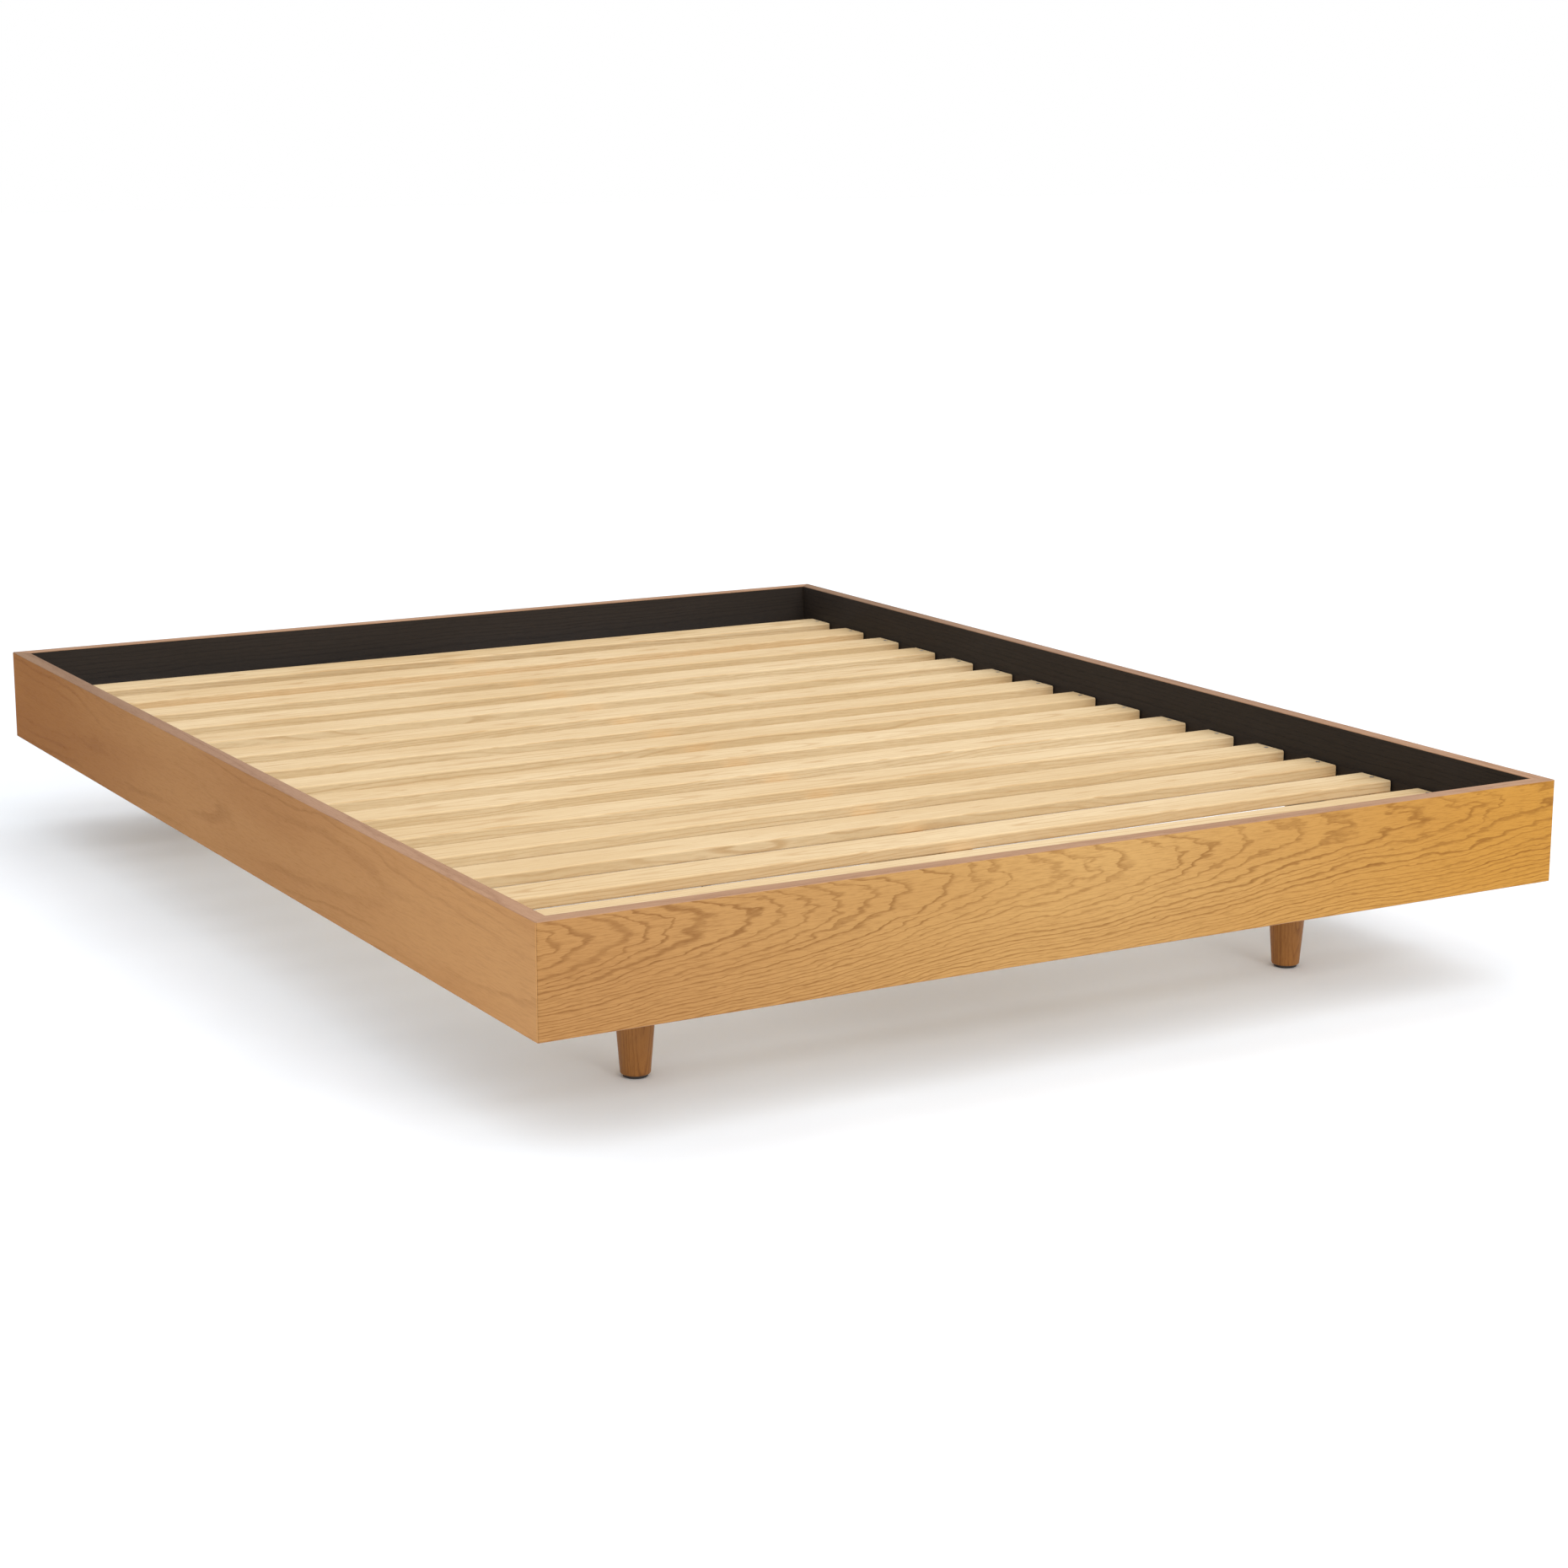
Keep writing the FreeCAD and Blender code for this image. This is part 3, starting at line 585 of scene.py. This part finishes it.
@dataclass(frozen=True)
class Wood:
    """One wooden finish: tones, cut, where the grain coordinates come from, half its length."""

    name: str
    tones: WoodTones
    cut: Cut = Cut()
    seed: float = 0.0
    axis: Optional[Axis] = None
    centre: Place = (0.0, 0.0, 0.0)
    drift: Optional[Drift] = None
    half: float = 1.0

    def _grain(self, g: Graph) -> Socket:
        """Grain coordinates: the piece's own UV, or its place turned so the grain is X.

        Args:
            g: the material's graph.

        Returns:
            A vector socket in metres.
        """
        if self.axis is None:
            return g.node("ShaderNodeUVMap", uv_map="grain").outputs["UV"]
        place = g.node("ShaderNodeTexCoord").outputs["Object"]
        parts = [
            g.math("SUBTRACT", part, middle) for part, middle in zip(g.split(place), self.centre)
        ]
        order = {Axis.X: (0, 1, 2), Axis.Y: (1, 0, 2), Axis.Z: (2, 0, 1)}[self.axis]
        return g.vector(*(parts[number] for number in order))

    def _end_tint_and_shade(self, g: Graph, place: Socket) -> Socket:
        """The tint at a place along the board, painted shade and painted light included.

        Args:
            g: the material's graph.
            place: the grain coordinates.

        Returns:
            The tint's socket.
        """
        ramp = g.node("ShaderNodeValToRGB")
        ramp.color_ramp.interpolation = "EASE"
        stops = ramp.color_ramp.elements
        stops[0].color = (*self.drift.low, 1.0)
        stops[1].color = (*self.drift.high, 1.0)
        stops.new(0.5).color = (*self.drift.middle, 1.0)
        g.put(ramp.inputs[0], g.math("MULTIPLY_ADD", g.split(place)[0], 0.5 / self.half, 0.5))
        return ramp.outputs[0]

    def build(self) -> bpy.types.Material:
        """Make the material.

        Returns:
            The material.
        """
        material, g, shader = blank_material(self.name)
        tones = self.tones
        place = self._grain(g)
        figure = g.use(
            EFFECTS.figure(), Grain=place, Seed=self.seed, Spacing=self.cut.spacing,
            Pith=self.cut.pith, Slope=self.cut.slope, Curve=self.cut.curve, Rise=self.cut.rise,
            Wander=self.cut.wander, Jag=self.cut.jag, Patchy=self.cut.patchy,
        ).outputs
        warmth = g.ease(figure["Tone"], TONE_LOW, TONE_HIGH)
        colour = g.blend(warmth, tones.light, tones.warm)
        rings = g.math("MULTIPLY", figure["Rings"], tones.ring_share)
        colour = g.blend(rings, colour, tones.ring)
        fibre = g.ease(figure["Fibre"], FIBRE_LOW, FIBRE_HIGH)
        colour = g.blend(g.math("MULTIPLY", fibre, tones.fibre_share), colour, tones.ring)
        pores = g.math("MULTIPLY", figure["Pores"], tones.pore_share)
        colour = g.blend(pores, colour, tones.pore)
        # The tints along the board multiply painted shade and painted light into the wood's colour.
        if self.drift:
            colour = g.blend(1.0, colour, self._end_tint_and_shade(g, place), "MULTIPLY")
        g.put(shader.inputs["Base Color"], colour)
        g.put(
            shader.inputs["Roughness"],
            g.math("MULTIPLY_ADD", figure["Pores"], PORE_ROUGHNESS, tones.roughness),
        )
        g.put(shader.inputs["Specular IOR Level"], tones.specular)
        g.put(shader.inputs["Coat Weight"], tones.coat)
        g.put(shader.inputs["Coat Roughness"], LACQUER_ROUGHNESS)
        add_bump(g, shader, figure["Height"], tones.bump, PORE_DEPTH)
        return material


@dataclass(frozen=True)
class Metal:
    """Plated or blackened steel and brass."""

    name: str
    bright: Colour
    dull: Colour
    roughness: float = 0.32
    metallic: float = 1.0
    smudge_low: float = 0.35
    smudge_high: float = 0.7
    smudge_roughness: float = 0.18
    fine: float = 1400.0
    broad: float = 45.0
    bump: float = 0.12
    depth: float = 0.0001

    def build(self) -> bpy.types.Material:
        """Make the material.

        Returns:
            The material.
        """
        material, g, shader = blank_material(self.name)
        place = g.node("ShaderNodeTexCoord").outputs["Object"]
        speckle = g.use(EFFECTS.speckle(), Place=place, Fine=self.fine, Broad=self.broad).outputs
        smudge = g.ease(speckle["Smudge"], self.smudge_low, self.smudge_high)
        g.put(shader.inputs["Base Color"], g.blend(smudge, self.bright, self.dull))
        g.put(shader.inputs["Metallic"], self.metallic)
        g.put(
            shader.inputs["Roughness"],
            g.math("MULTIPLY_ADD", smudge, self.smudge_roughness, self.roughness),
        )
        add_bump(g, shader, speckle["Grain"], self.bump, self.depth)
        return material


@dataclass(frozen=True)
class Plastic:
    """Moulded plastic with a fine texture."""

    name: str
    colour: Colour
    worn: Colour
    roughness: float = 0.5
    worn_low: float = 0.5
    worn_high: float = 0.8
    worn_roughness: float = 0.15
    fine: float = 1800.0
    broad: float = 70.0
    bump: float = 0.3
    depth: float = 0.0002

    def build(self) -> bpy.types.Material:
        """Make the material.

        Returns:
            The material.
        """
        material, g, shader = blank_material(self.name)
        place = g.node("ShaderNodeTexCoord").outputs["Object"]
        speckle = g.use(EFFECTS.speckle(), Place=place, Fine=self.fine, Broad=self.broad).outputs
        worn = g.ease(speckle["Smudge"], self.worn_low, self.worn_high)
        g.put(shader.inputs["Base Color"], g.blend(worn, self.colour, self.worn))
        g.put(
            shader.inputs["Roughness"],
            g.math("MULTIPLY_ADD", worn, self.worn_roughness, self.roughness),
        )
        add_bump(g, shader, speckle["Grain"], self.bump, self.depth)
        return material


ZINC = Metal("zinc_plate", (0.66, 0.67, 0.69), (0.50, 0.51, 0.54))
PLATE = Metal("plate_steel", (0.58, 0.59, 0.60), (0.42, 0.43, 0.45), 0.38)
BLACK_OXIDE = Metal("black_oxide", (0.035, 0.035, 0.037), (0.06, 0.058, 0.055), 0.42, 0.7)
BRASS = Metal("brass", (0.72, 0.50, 0.20), (0.55, 0.36, 0.13), 0.3)
GLIDE = Plastic("glide_plastic", (0.030, 0.026, 0.023), (0.06, 0.055, 0.05))
PAD = Plastic("pad_plastic", (0.018, 0.018, 0.019), (0.045, 0.045, 0.046))


BOLD_LEAF = Cut(
    spacing=0.0031, pith=0.144, slope=0.0500, curve=0.0180, rise=0.048, wander=0.04, jag=0.0014,
    patchy=0.35,
)
QUIET_LEAF = Cut(
    spacing=0.0085, pith=0.12, slope=0.015, wander=0.08, jag=0.0012, patchy=1.0
)
# Foot and head rails: both ends darker than the middle, partly painted shade round a lit middle and
# partly the veneer's own tint, yellower at the right end.
FOOT_TINT_AND_SHADE = Drift(low=(0.80, 0.71, 0.71), high=(0.965, 0.815, 0.42))
# Side rails: painted shade darkens the head end and painted light brightens the foot end, as light
# falls off along them.
SIDE_PAINTED_SHADE = Drift(low=(0.74, 0.60, 0.37), high=(1.25, 1.30, 1.375))
# The side rails' top edges: painted shade, darker towards the head end and brighter at the foot
# end.
SIDE_EDGE_PAINTED_SHADE = Drift(low=(0.66, 0.66, 0.62), middle=(0.83, 0.82, 0.83), high=(1.04, 1.04, 1.04))


# --- rails ---------------------------------------------------------------------


# Faces smaller than this, in square metres, belong to a rounded edge.
SMOOTH_BELOW = 0.0015
# Faces that lean further along or up than these are the mitre's cut, an edge or level.
CUT_LEAN = 0.5
CUT_INWARD = 0.3
EDGE_LEAN = 0.35
LEVEL_LEAN = 0.9
# The rails meet at half a right angle.
MITRE = math.radians(45.0)
# Two heights closer than this, in metres, are the same.
SAME_HEIGHT = 1e-6
# Straight, quiet grain for the narrow faces, and how far their seeds lie from the face's.
STRAIGHT_GRAIN = Cut(spacing=0.003, pith=0.12, slope=0.004, wander=0.02, jag=0.0005)
EDGE_SEED, INNER_SEED, CORE_SEED = 3, 5, 7


@dataclass
class MitredRail:
    """A veneered board with mitred ends, rebuilt with its own faces and finishes."""

    node: str
    tones: WoodTones
    cut: Cut
    seed: float
    drift: Optional[Drift] = None
    edge_drift: Optional[Drift] = None
    flip: bool = False
    edge_radius: float = 0.0015
    edge_steps: int = 4
    corner_radius: float = 0.003
    corner_steps: int = 4
    hairline: float = 0.0001
    slot: str = "oak_veneer"
    low: Vector = field(init=False)
    high: Vector = field(init=False)

    def __post_init__(self) -> None:
        """Read the board's box from the CAD."""
        self.low, self.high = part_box(self.node)

    @property
    def size(self) -> Vector:
        """The board's size in the row frame."""
        return self.high - self.low

    @property
    def across_bed(self) -> bool:
        """True for the foot and head rails."""
        return self.size.x > self.size.y

    @property
    def length(self) -> float:
        """The board's length."""
        return max(self.size.x, self.size.y)

    @property
    def thickness(self) -> float:
        """The board's thickness."""
        return min(self.size.x, self.size.y)

    def _frame(self) -> Matrix:
        """From the board's axes to the row frame.

        Returns:
            The turn and place of X along, Y inward and Z up, from the middle of the outer foot.
        """
        middle = (self.low + self.high) / 2
        if self.across_bed:
            side = -1.0 if middle.y > 0 else 1.0
            outer = self.low.y if side > 0 else self.high.y
            inward = Vector((0, side, 0))
            origin = Vector((middle.x, outer, self.low.z))
        else:
            side = -1.0 if middle.x > 0 else 1.0
            outer = self.low.x if side > 0 else self.high.x
            inward = Vector((side, 0, 0))
            origin = Vector((outer, middle.y, self.low.z))
        along = inward.cross(Vector((0, 0, 1)))
        return Matrix.Translation(origin) @ Matrix((along, inward, (0, 0, 1))).transposed().to_4x4()

    def _outline(self) -> list[tuple[float, float]]:
        """The board seen from above: a mitred strip whose sharp tips are rounded.

        Returns:
            Points going round the outline.
        """
        half, thickness = self.length / 2 - self.hairline, self.thickness
        tip = []
        for step in range(self.corner_steps + 1):
            turn = MITRE * step / self.corner_steps
            back = self.corner_radius * (1.0 - math.sin(turn))
            inward = self.corner_radius * (1.0 - math.cos(turn))
            tip.append((half - back, inward))
        inner = [(half - thickness, thickness), (thickness - half, thickness)]
        return tip + inner + [(-x, y) for x, y in reversed(tip)]

    def _mesh(self) -> bpy.types.Mesh:
        """The board with its long edges eased, UVs in metres and faces sorted by finish.

        Returns:
            The mesh, in its place in the row frame.
        """
        bm = bmesh.new()
        base = bm.faces.new([bm.verts.new((x, y, 0.0)) for x, y in self._outline()])
        grown = bmesh.ops.extrude_face_region(bm, geom=[base])["geom"]
        top = [item for item in grown if isinstance(item, bmesh.types.BMVert)]
        bmesh.ops.translate(bm, verts=top, vec=(0, 0, self.size.z))
        long_edges = [edge for edge in bm.edges if self._runs_along(edge)]
        bmesh.ops.bevel(
            bm, geom=long_edges, offset=self.edge_radius, segments=self.edge_steps, profile=0.5,
            affect="EDGES", material=-1,
        )
        bmesh.ops.recalc_face_normals(bm, faces=bm.faces)
        layer = bm.loops.layers.uv.new("grain")
        sign = -1.0 if self.flip else 1.0
        for face in bm.faces:
            ground = self._ground(face)
            face.material_index = ground.value
            face.smooth = face.calc_area() < SMOOTH_BELOW and ground is not Ground.CORE
            level = abs(face.normal.z) > LEVEL_LEAN
            for loop in face.loops:
                place = loop.vert.co
                up = place.y if level else place.z - self.size.z / 2
                loop[layer].uv = (sign * place.x, up)
        mesh = bpy.data.meshes.new(self.node + "_veneered")
        bm.transform(self._frame())
        bm.to_mesh(mesh)
        bm.free()
        return mesh

    def _runs_along(self, edge: bmesh.types.BMEdge) -> bool:
        """True for the edges along the board and round its tips, at its top and foot.

        Args:
            edge: an edge in the board's own axes.

        Returns:
            Whether it is one of the edges to ease.
        """
        first, second = (vert.co for vert in edge.verts)
        level = abs(first.z - second.z) < SAME_HEIGHT
        return level and abs(first.y - second.y) < self.corner_radius

    def _ground(self, face: bmesh.types.BMFace) -> Ground:
        """Which finish a face of the board takes.

        Args:
            face: a face in the board's own axes.

        Returns:
            The finish's place in the board's list.
        """
        normal = face.normal
        if abs(normal.x) > CUT_LEAN and normal.y > CUT_INWARD:
            return Ground.CORE
        if abs(normal.z) > EDGE_LEAN:
            return Ground.EDGE
        return Ground.INNER if normal.y > 0 else Ground.FACE

    def _finishes(self) -> list[Wood]:
        """The finishes of the outer face, the narrow edges, the inner face and the cuts.

        Returns:
            One finish for each Ground, in its order.
        """
        name, seed, half = self.node, self.seed, self.length / 2
        return [
            Wood(name + "_face", self.tones, self.cut, seed, drift=self.drift, half=half),
            Wood(
                name + "_edge", OAK_EDGE, STRAIGHT_GRAIN, seed + EDGE_SEED,
                drift=self.edge_drift, half=half,
            ),
            Wood(name + "_inner", BLACK_STAIN, STRAIGHT_GRAIN, seed + INNER_SEED),
            Wood(name + "_core", CORE_BOARD, STRAIGHT_GRAIN, seed + CORE_SEED),
        ]

    def build(self) -> bpy.types.Object:
        """Make the board, dress it and put it in place of the CAD node.

        Returns:
            The board.
        """
        mesh = self._mesh()
        for finish in self._finishes():
            mesh.materials.append(finish.build())
        board = bpy.data.objects.new(self.node + "_veneered", mesh)
        bpy.context.scene.collection.objects.link(board)
        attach(board, BODY)
        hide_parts(self.node)
        return board


# --- dressing the CAD pieces -----------------------------------------------------


def dress(nodes: dict[str, bpy.types.Object], name: str, material: bpy.types.Material) -> None:
    """Give one CAD node a finish.

    Args:
        nodes: the CAD nodes by name.
        name: the node to dress.
        material: its finish.
    """
    node = nodes[name]
    for number in range(len(node.material_slots)):
        node.material_slots[number].link = "OBJECT"
        node.material_slots[number].material = material
    LOG.info("dressed %s in %s", name, material.name)


def middle_of(name: str) -> Vector:
    """The middle of a CAD node's box.

    Args:
        name: the node.

    Returns:
        Its middle at rest.
    """
    low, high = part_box(name)
    return (low + high) / 2


@dataclass(frozen=True)
class Seeds:
    """Where one set of pieces starts in the noise, and how far apart its pieces lie."""

    start: float
    step: float

    def at(self, number: int) -> float:
        """The seed of one piece of the set."""
        return self.start + number * self.step


@dataclass(frozen=True)
class Spread:
    """A value that differs from piece to piece: the lowest, its step, and how steps are dealt."""

    low: float
    step: float
    stride: int
    count: int

    def at(self, number: int) -> float:
        """The value of one piece."""
        return self.low + self.step * (number * self.stride % self.count)


# Shifts the slats' figure along them, from one slat to the next, in radians.
SLAT_TURN = 2.4
# The dowels' place in the noise.
DOWEL_SEED = 50.0


@dataclass
class Timber:
    """Solid wooden pieces that keep their CAD shape."""

    nodes: dict[str, bpy.types.Object]
    slat_cut: Cut = Cut(spacing=0.0036, slope=0.022, wander=0.03, jag=0.0004)
    slat_spacing: Spread = Spread(0.8, 0.1, 5, 7)
    slat_pith: Spread = Spread(0.012, 0.006, 3, 8)
    slat_slope: Spread = Spread(0.5, 0.2, 1, 4)
    slat_stagger: float = 0.7
    beam_cut: Cut = Cut(spacing=0.0040, pith=0.03, slope=0.010, wander=0.03, jag=0.0004)
    leg_cut: Cut = Cut(spacing=0.0045, pith=0.05, slope=0.02, wander=0.004, jag=0.0009)
    slat_seeds: Seeds = Seeds(2.0, 1.37)
    beam_seeds: Seeds = Seeds(30.0, 2.1)
    leg_seeds: Seeds = Seeds(60.0, 1.9)

    def _slat_cut(self, number: int) -> Cut:
        """One slat's cut: ring spacing, pith depth and slope differ from slat to slat.

        Args:
            number: the slat's place in the deck.

        Returns:
            The cut.
        """
        lean = 1 if number % 2 else -1
        return replace(
            self.slat_cut,
            spacing=self.slat_cut.spacing * self.slat_spacing.at(number),
            pith=self.slat_pith.at(number),
            slope=self.slat_cut.slope * lean * self.slat_slope.at(number),
        )

    def slats(self) -> int:
        """Give each slat its own piece of pine.

        Returns:
            How many slats were dressed.
        """
        names = sorted(
            name for name in self.nodes if name.startswith("slat_") and name != "slat_screws"
        )
        for number, name in enumerate(names):
            heart = middle_of(name)
            heart.x += self.slat_stagger * math.sin(number * SLAT_TURN)
            cut, seed = self._slat_cut(number), self.slat_seeds.at(number)
            wood = Wood(name, PINE, cut, seed, Axis.X, tuple(heart))
            dress(self.nodes, name, wood.build())
        return len(names)

    def beams(self) -> int:
        """Dress the bearers, the beam, the ledgers and the corner blocks.

        Returns:
            How many pieces were dressed.
        """
        count = 0
        for name in self.nodes:
            if name.endswith("_bearer"):
                axis = Axis.X
            elif name == "centre_beam" or name.endswith("_ledger"):
                axis = Axis.Y
            elif name.endswith("_corner_block"):
                axis = Axis.Z
            else:
                continue
            heart, seed = tuple(middle_of(name)), self.beam_seeds.at(count)
            wood = Wood(name, SPRUCE, self.beam_cut, seed, axis, heart)
            dress(self.nodes, name, wood.build())
            count += 1
        dowels = Wood("corner_dowels", CORE_BOARD, self.beam_cut, DOWEL_SEED, Axis.X)
        dress(self.nodes, "corner_dowels", dowels.build())
        return count

    def legs(self) -> int:
        """Dress the four turned legs and the plain centre leg.

        Returns:
            How many legs were dressed.
        """
        names = sorted(name for name in self.nodes if name.endswith("_leg"))
        for number, name in enumerate(names):
            tones = SPRUCE if name == "centre_support_leg" else BROWN_OAK
            heart, seed = tuple(middle_of(name)), self.leg_seeds.at(number)
            wood = Wood(name, tones, self.leg_cut, seed, Axis.Z, heart)
            dress(self.nodes, name, wood.build())
        return len(names)


@dataclass
class Hardware:
    """Screws, bolts, plates, brackets, glides and the levelling foot."""

    nodes: dict[str, bpy.types.Object]

    def build(self) -> int:
        """Dress every metal and plastic piece.

        Returns:
            How many nodes were dressed.
        """
        zinc, plate, black = ZINC.build(), PLATE.build(), BLACK_OXIDE.build()
        brass, glide, pad = BRASS.build(), GLIDE.build(), PAD.build()
        rules: list[tuple[Callable[[str], bool], bpy.types.Material]] = [
            (lambda name: name == "corner_bolts", black),
            (lambda name: name.endswith("_screws"), zinc),
            (lambda name: name in ("leg_hanger_bolts", "levelling_foot_stem"), zinc),
            (lambda name: name.endswith(("_plate", "_bracket")), plate),
            (lambda name: name.endswith(("_inserts", "_insert")), brass),
            (lambda name: name.endswith("_glide"), glide),
            (lambda name: name == "levelling_foot_pad", pad),
        ]
        count = 0
        for name in self.nodes:
            for fits, material in rules:
                if fits(name):
                    dress(self.nodes, name, material)
                    count += 1
                    break
        return count


# --- studio ----------------------------------------------------------------------


@dataclass
class Studio:
    """White floor, white surroundings, soft lights and the camera."""

    camera_place: Place = (-2.3848, -4.3778, 1.2778)
    yaw_deg: float = 30.02
    pitch_deg: float = 12.37
    roll_deg: float = -0.13
    lens: float = 72.07
    sensor: float = 36.0
    view_end: float = 200.0
    floor_side: float = 60.0
    floor_colour: Colour = (0.87, 0.89, 0.91)
    floor_pale: Colour = (0.89, 0.91, 0.93)
    floor_patches: float = 3.0
    floor_roughness: float = 0.9
    horizon: float = 0.35
    zenith: float = 0.9
    sky_ease: float = 0.6
    fill_colour: Colour = (0.95, 0.985, 1.03)
    backdrop: Colour = (1.0, 1.0, 1.0)
    overhead: float = 1.15
    overhead_angle: float = 100.0
    key: float = 430.0
    key_place: Place = (1.0, -9.5, 4.5)
    key_side: float = 4.0
    key_aim: Place = (0.0, 0.0, 0.2)

    def floor(self) -> bpy.types.Object:
        """A large pale floor, level with the feet.

        Returns:
            The floor.
        """
        bm = bmesh.new()
        bmesh.ops.create_grid(bm, x_segments=1, y_segments=1, size=self.floor_side / 2)
        mesh = bpy.data.meshes.new("studio_floor")
        bm.to_mesh(mesh)
        bm.free()
        material, g, shader = blank_material("studio_floor")
        place = g.node("ShaderNodeTexCoord").outputs["Object"]
        tint = g.ease(g.noise(place, self.floor_patches), TONE_LOW, TONE_HIGH)
        colour = g.blend(tint, self.floor_colour, self.floor_pale)
        g.put(shader.inputs["Base Color"], colour)
        g.put(shader.inputs["Roughness"], self.floor_roughness)
        g.put(shader.inputs["Specular IOR Level"], 0.0)
        self._clear_from_below(g, shader)
        mesh.materials.append(material)
        floor = bpy.data.objects.new("studio_floor", mesh)
        bpy.context.scene.collection.objects.link(floor)
        return floor

    def _clear_from_below(self, g: Graph, shader: bpy.types.Node) -> None:
        """Let a view from under the floor see the underside of the bed.

        Args:
            g: the floor material's graph.
            shader: its Principled shader.
        """
        mix = g.node("ShaderNodeMixShader")
        g.put(mix.inputs[0], g.node("ShaderNodeNewGeometry").outputs["Backfacing"])
        g.put(mix.inputs[1], shader.outputs["BSDF"])
        g.put(mix.inputs[2], g.node("ShaderNodeBsdfTransparent").outputs["BSDF"])
        output = next(node for node in g.tree.nodes if node.type == "OUTPUT_MATERIAL")
        g.put(output.inputs["Surface"], mix.outputs["Shader"])

    def surroundings(self) -> None:
        """White light from all round."""
        world = bpy.data.worlds.new("studio")
        bpy.context.scene.world = world
        world.use_nodes = True
        g = Graph(world.node_tree)
        back = world.node_tree.nodes["Background"]
        seen = g.node("ShaderNodeLightPath").outputs["Is Camera Ray"]
        height = g.split(g.node("ShaderNodeTexCoord").outputs["Generated"])[2]
        lit = g.ease(height, 0.0, self.sky_ease, self.horizon, self.zenith)
        g.put(back.inputs["Strength"], g.ease(seen, 0.0, 1.0, lit, 1.0))
        g.put(back.inputs["Color"], g.blend(seen, self.fill_colour, self.backdrop))

    def key_light(self) -> bpy.types.Object:
        """A square soft light aimed at the middle of the bed.

        Returns:
            The lamp.
        """
        data = bpy.data.lights.new("key", "AREA")
        data.shape, data.size, data.energy = "SQUARE", self.key_side, self.key
        lamp = bpy.data.objects.new("key", data)
        aim = Vector(self.key_aim) - Vector(self.key_place)
        turn = aim.to_track_quat("-Z", "Y").to_matrix().to_4x4()
        lamp.matrix_world = Matrix.Translation(self.key_place) @ turn
        bpy.context.scene.collection.objects.link(lamp)
        return lamp

    def overhead_light(self) -> bpy.types.Object:
        """A broad, even light from straight above.

        Returns:
            The lamp.
        """
        data = bpy.data.lights.new("overhead", "SUN")
        data.energy, data.angle = self.overhead, math.radians(self.overhead_angle)
        lamp = bpy.data.objects.new("overhead", data)
        bpy.context.scene.collection.objects.link(lamp)
        return lamp

    def camera(self) -> bpy.types.Object:
        """The camera at its place, turned by yaw, pitch and roll.

        Returns:
            The camera.
        """
        data = bpy.data.cameras.new("camera")
        data.lens, data.sensor_width = self.lens, self.sensor
        data.clip_end = self.view_end
        camera = bpy.data.objects.new("camera", data)
        turn = (
            Matrix.Rotation(math.radians(-self.yaw_deg), 4, "Z")
            @ Matrix.Rotation(math.radians(90.0 - self.pitch_deg), 4, "X")
            @ Matrix.Rotation(math.radians(-self.roll_deg), 4, "Z")
        )
        camera.matrix_world = Matrix.Translation(self.camera_place) @ turn
        bpy.context.scene.collection.objects.link(camera)
        bpy.context.scene.camera = camera
        return camera

    def build(self) -> None:
        """Set the whole studio up."""
        self.floor()
        self.surroundings()
        self.key_light()
        self.overhead_light()
        self.camera()
        view = bpy.context.scene.view_settings
        view.view_transform = "Standard"
        view.look = "None"


def rails() -> list[MitredRail]:
    """The four rails, each with its own leaf of veneer.

    Returns:
        The rails, foot first and head last.
    """
    return [
        MitredRail("foot_rail", OAK_FACE, BOLD_LEAF, 1.0, drift=FOOT_TINT_AND_SHADE),
        MitredRail("left_side_rail", OAK_SIDE_SHADED, QUIET_LEAF, 4.0, SIDE_PAINTED_SHADE, SIDE_EDGE_PAINTED_SHADE),
        MitredRail(
            "right_side_rail", OAK_SIDE_SHADED, QUIET_LEAF, 6.3, SIDE_PAINTED_SHADE, SIDE_EDGE_PAINTED_SHADE, flip=True
        ),
        MitredRail("head_rail", OAK_FACE, BOLD_LEAF, 8.1, drift=FOOT_TINT_AND_SHADE),
    ]


def main() -> None:
    """Build every piece in order."""
    logging.basicConfig(level=logging.INFO, format="%(name)s: %(message)s")
    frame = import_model()
    nodes = frame["nodes"]
    for rail in rails():
        LOG.info("rail %s", rail.build().name)
    timber = Timber(nodes)
    LOG.info("slats: %d", timber.slats())
    LOG.info("beams and blocks: %d", timber.beams())
    LOG.info("legs: %d", timber.legs())
    LOG.info("hardware nodes: %d", Hardware(nodes).build())
    Studio().build()


if __name__ == "__main__":
    main()
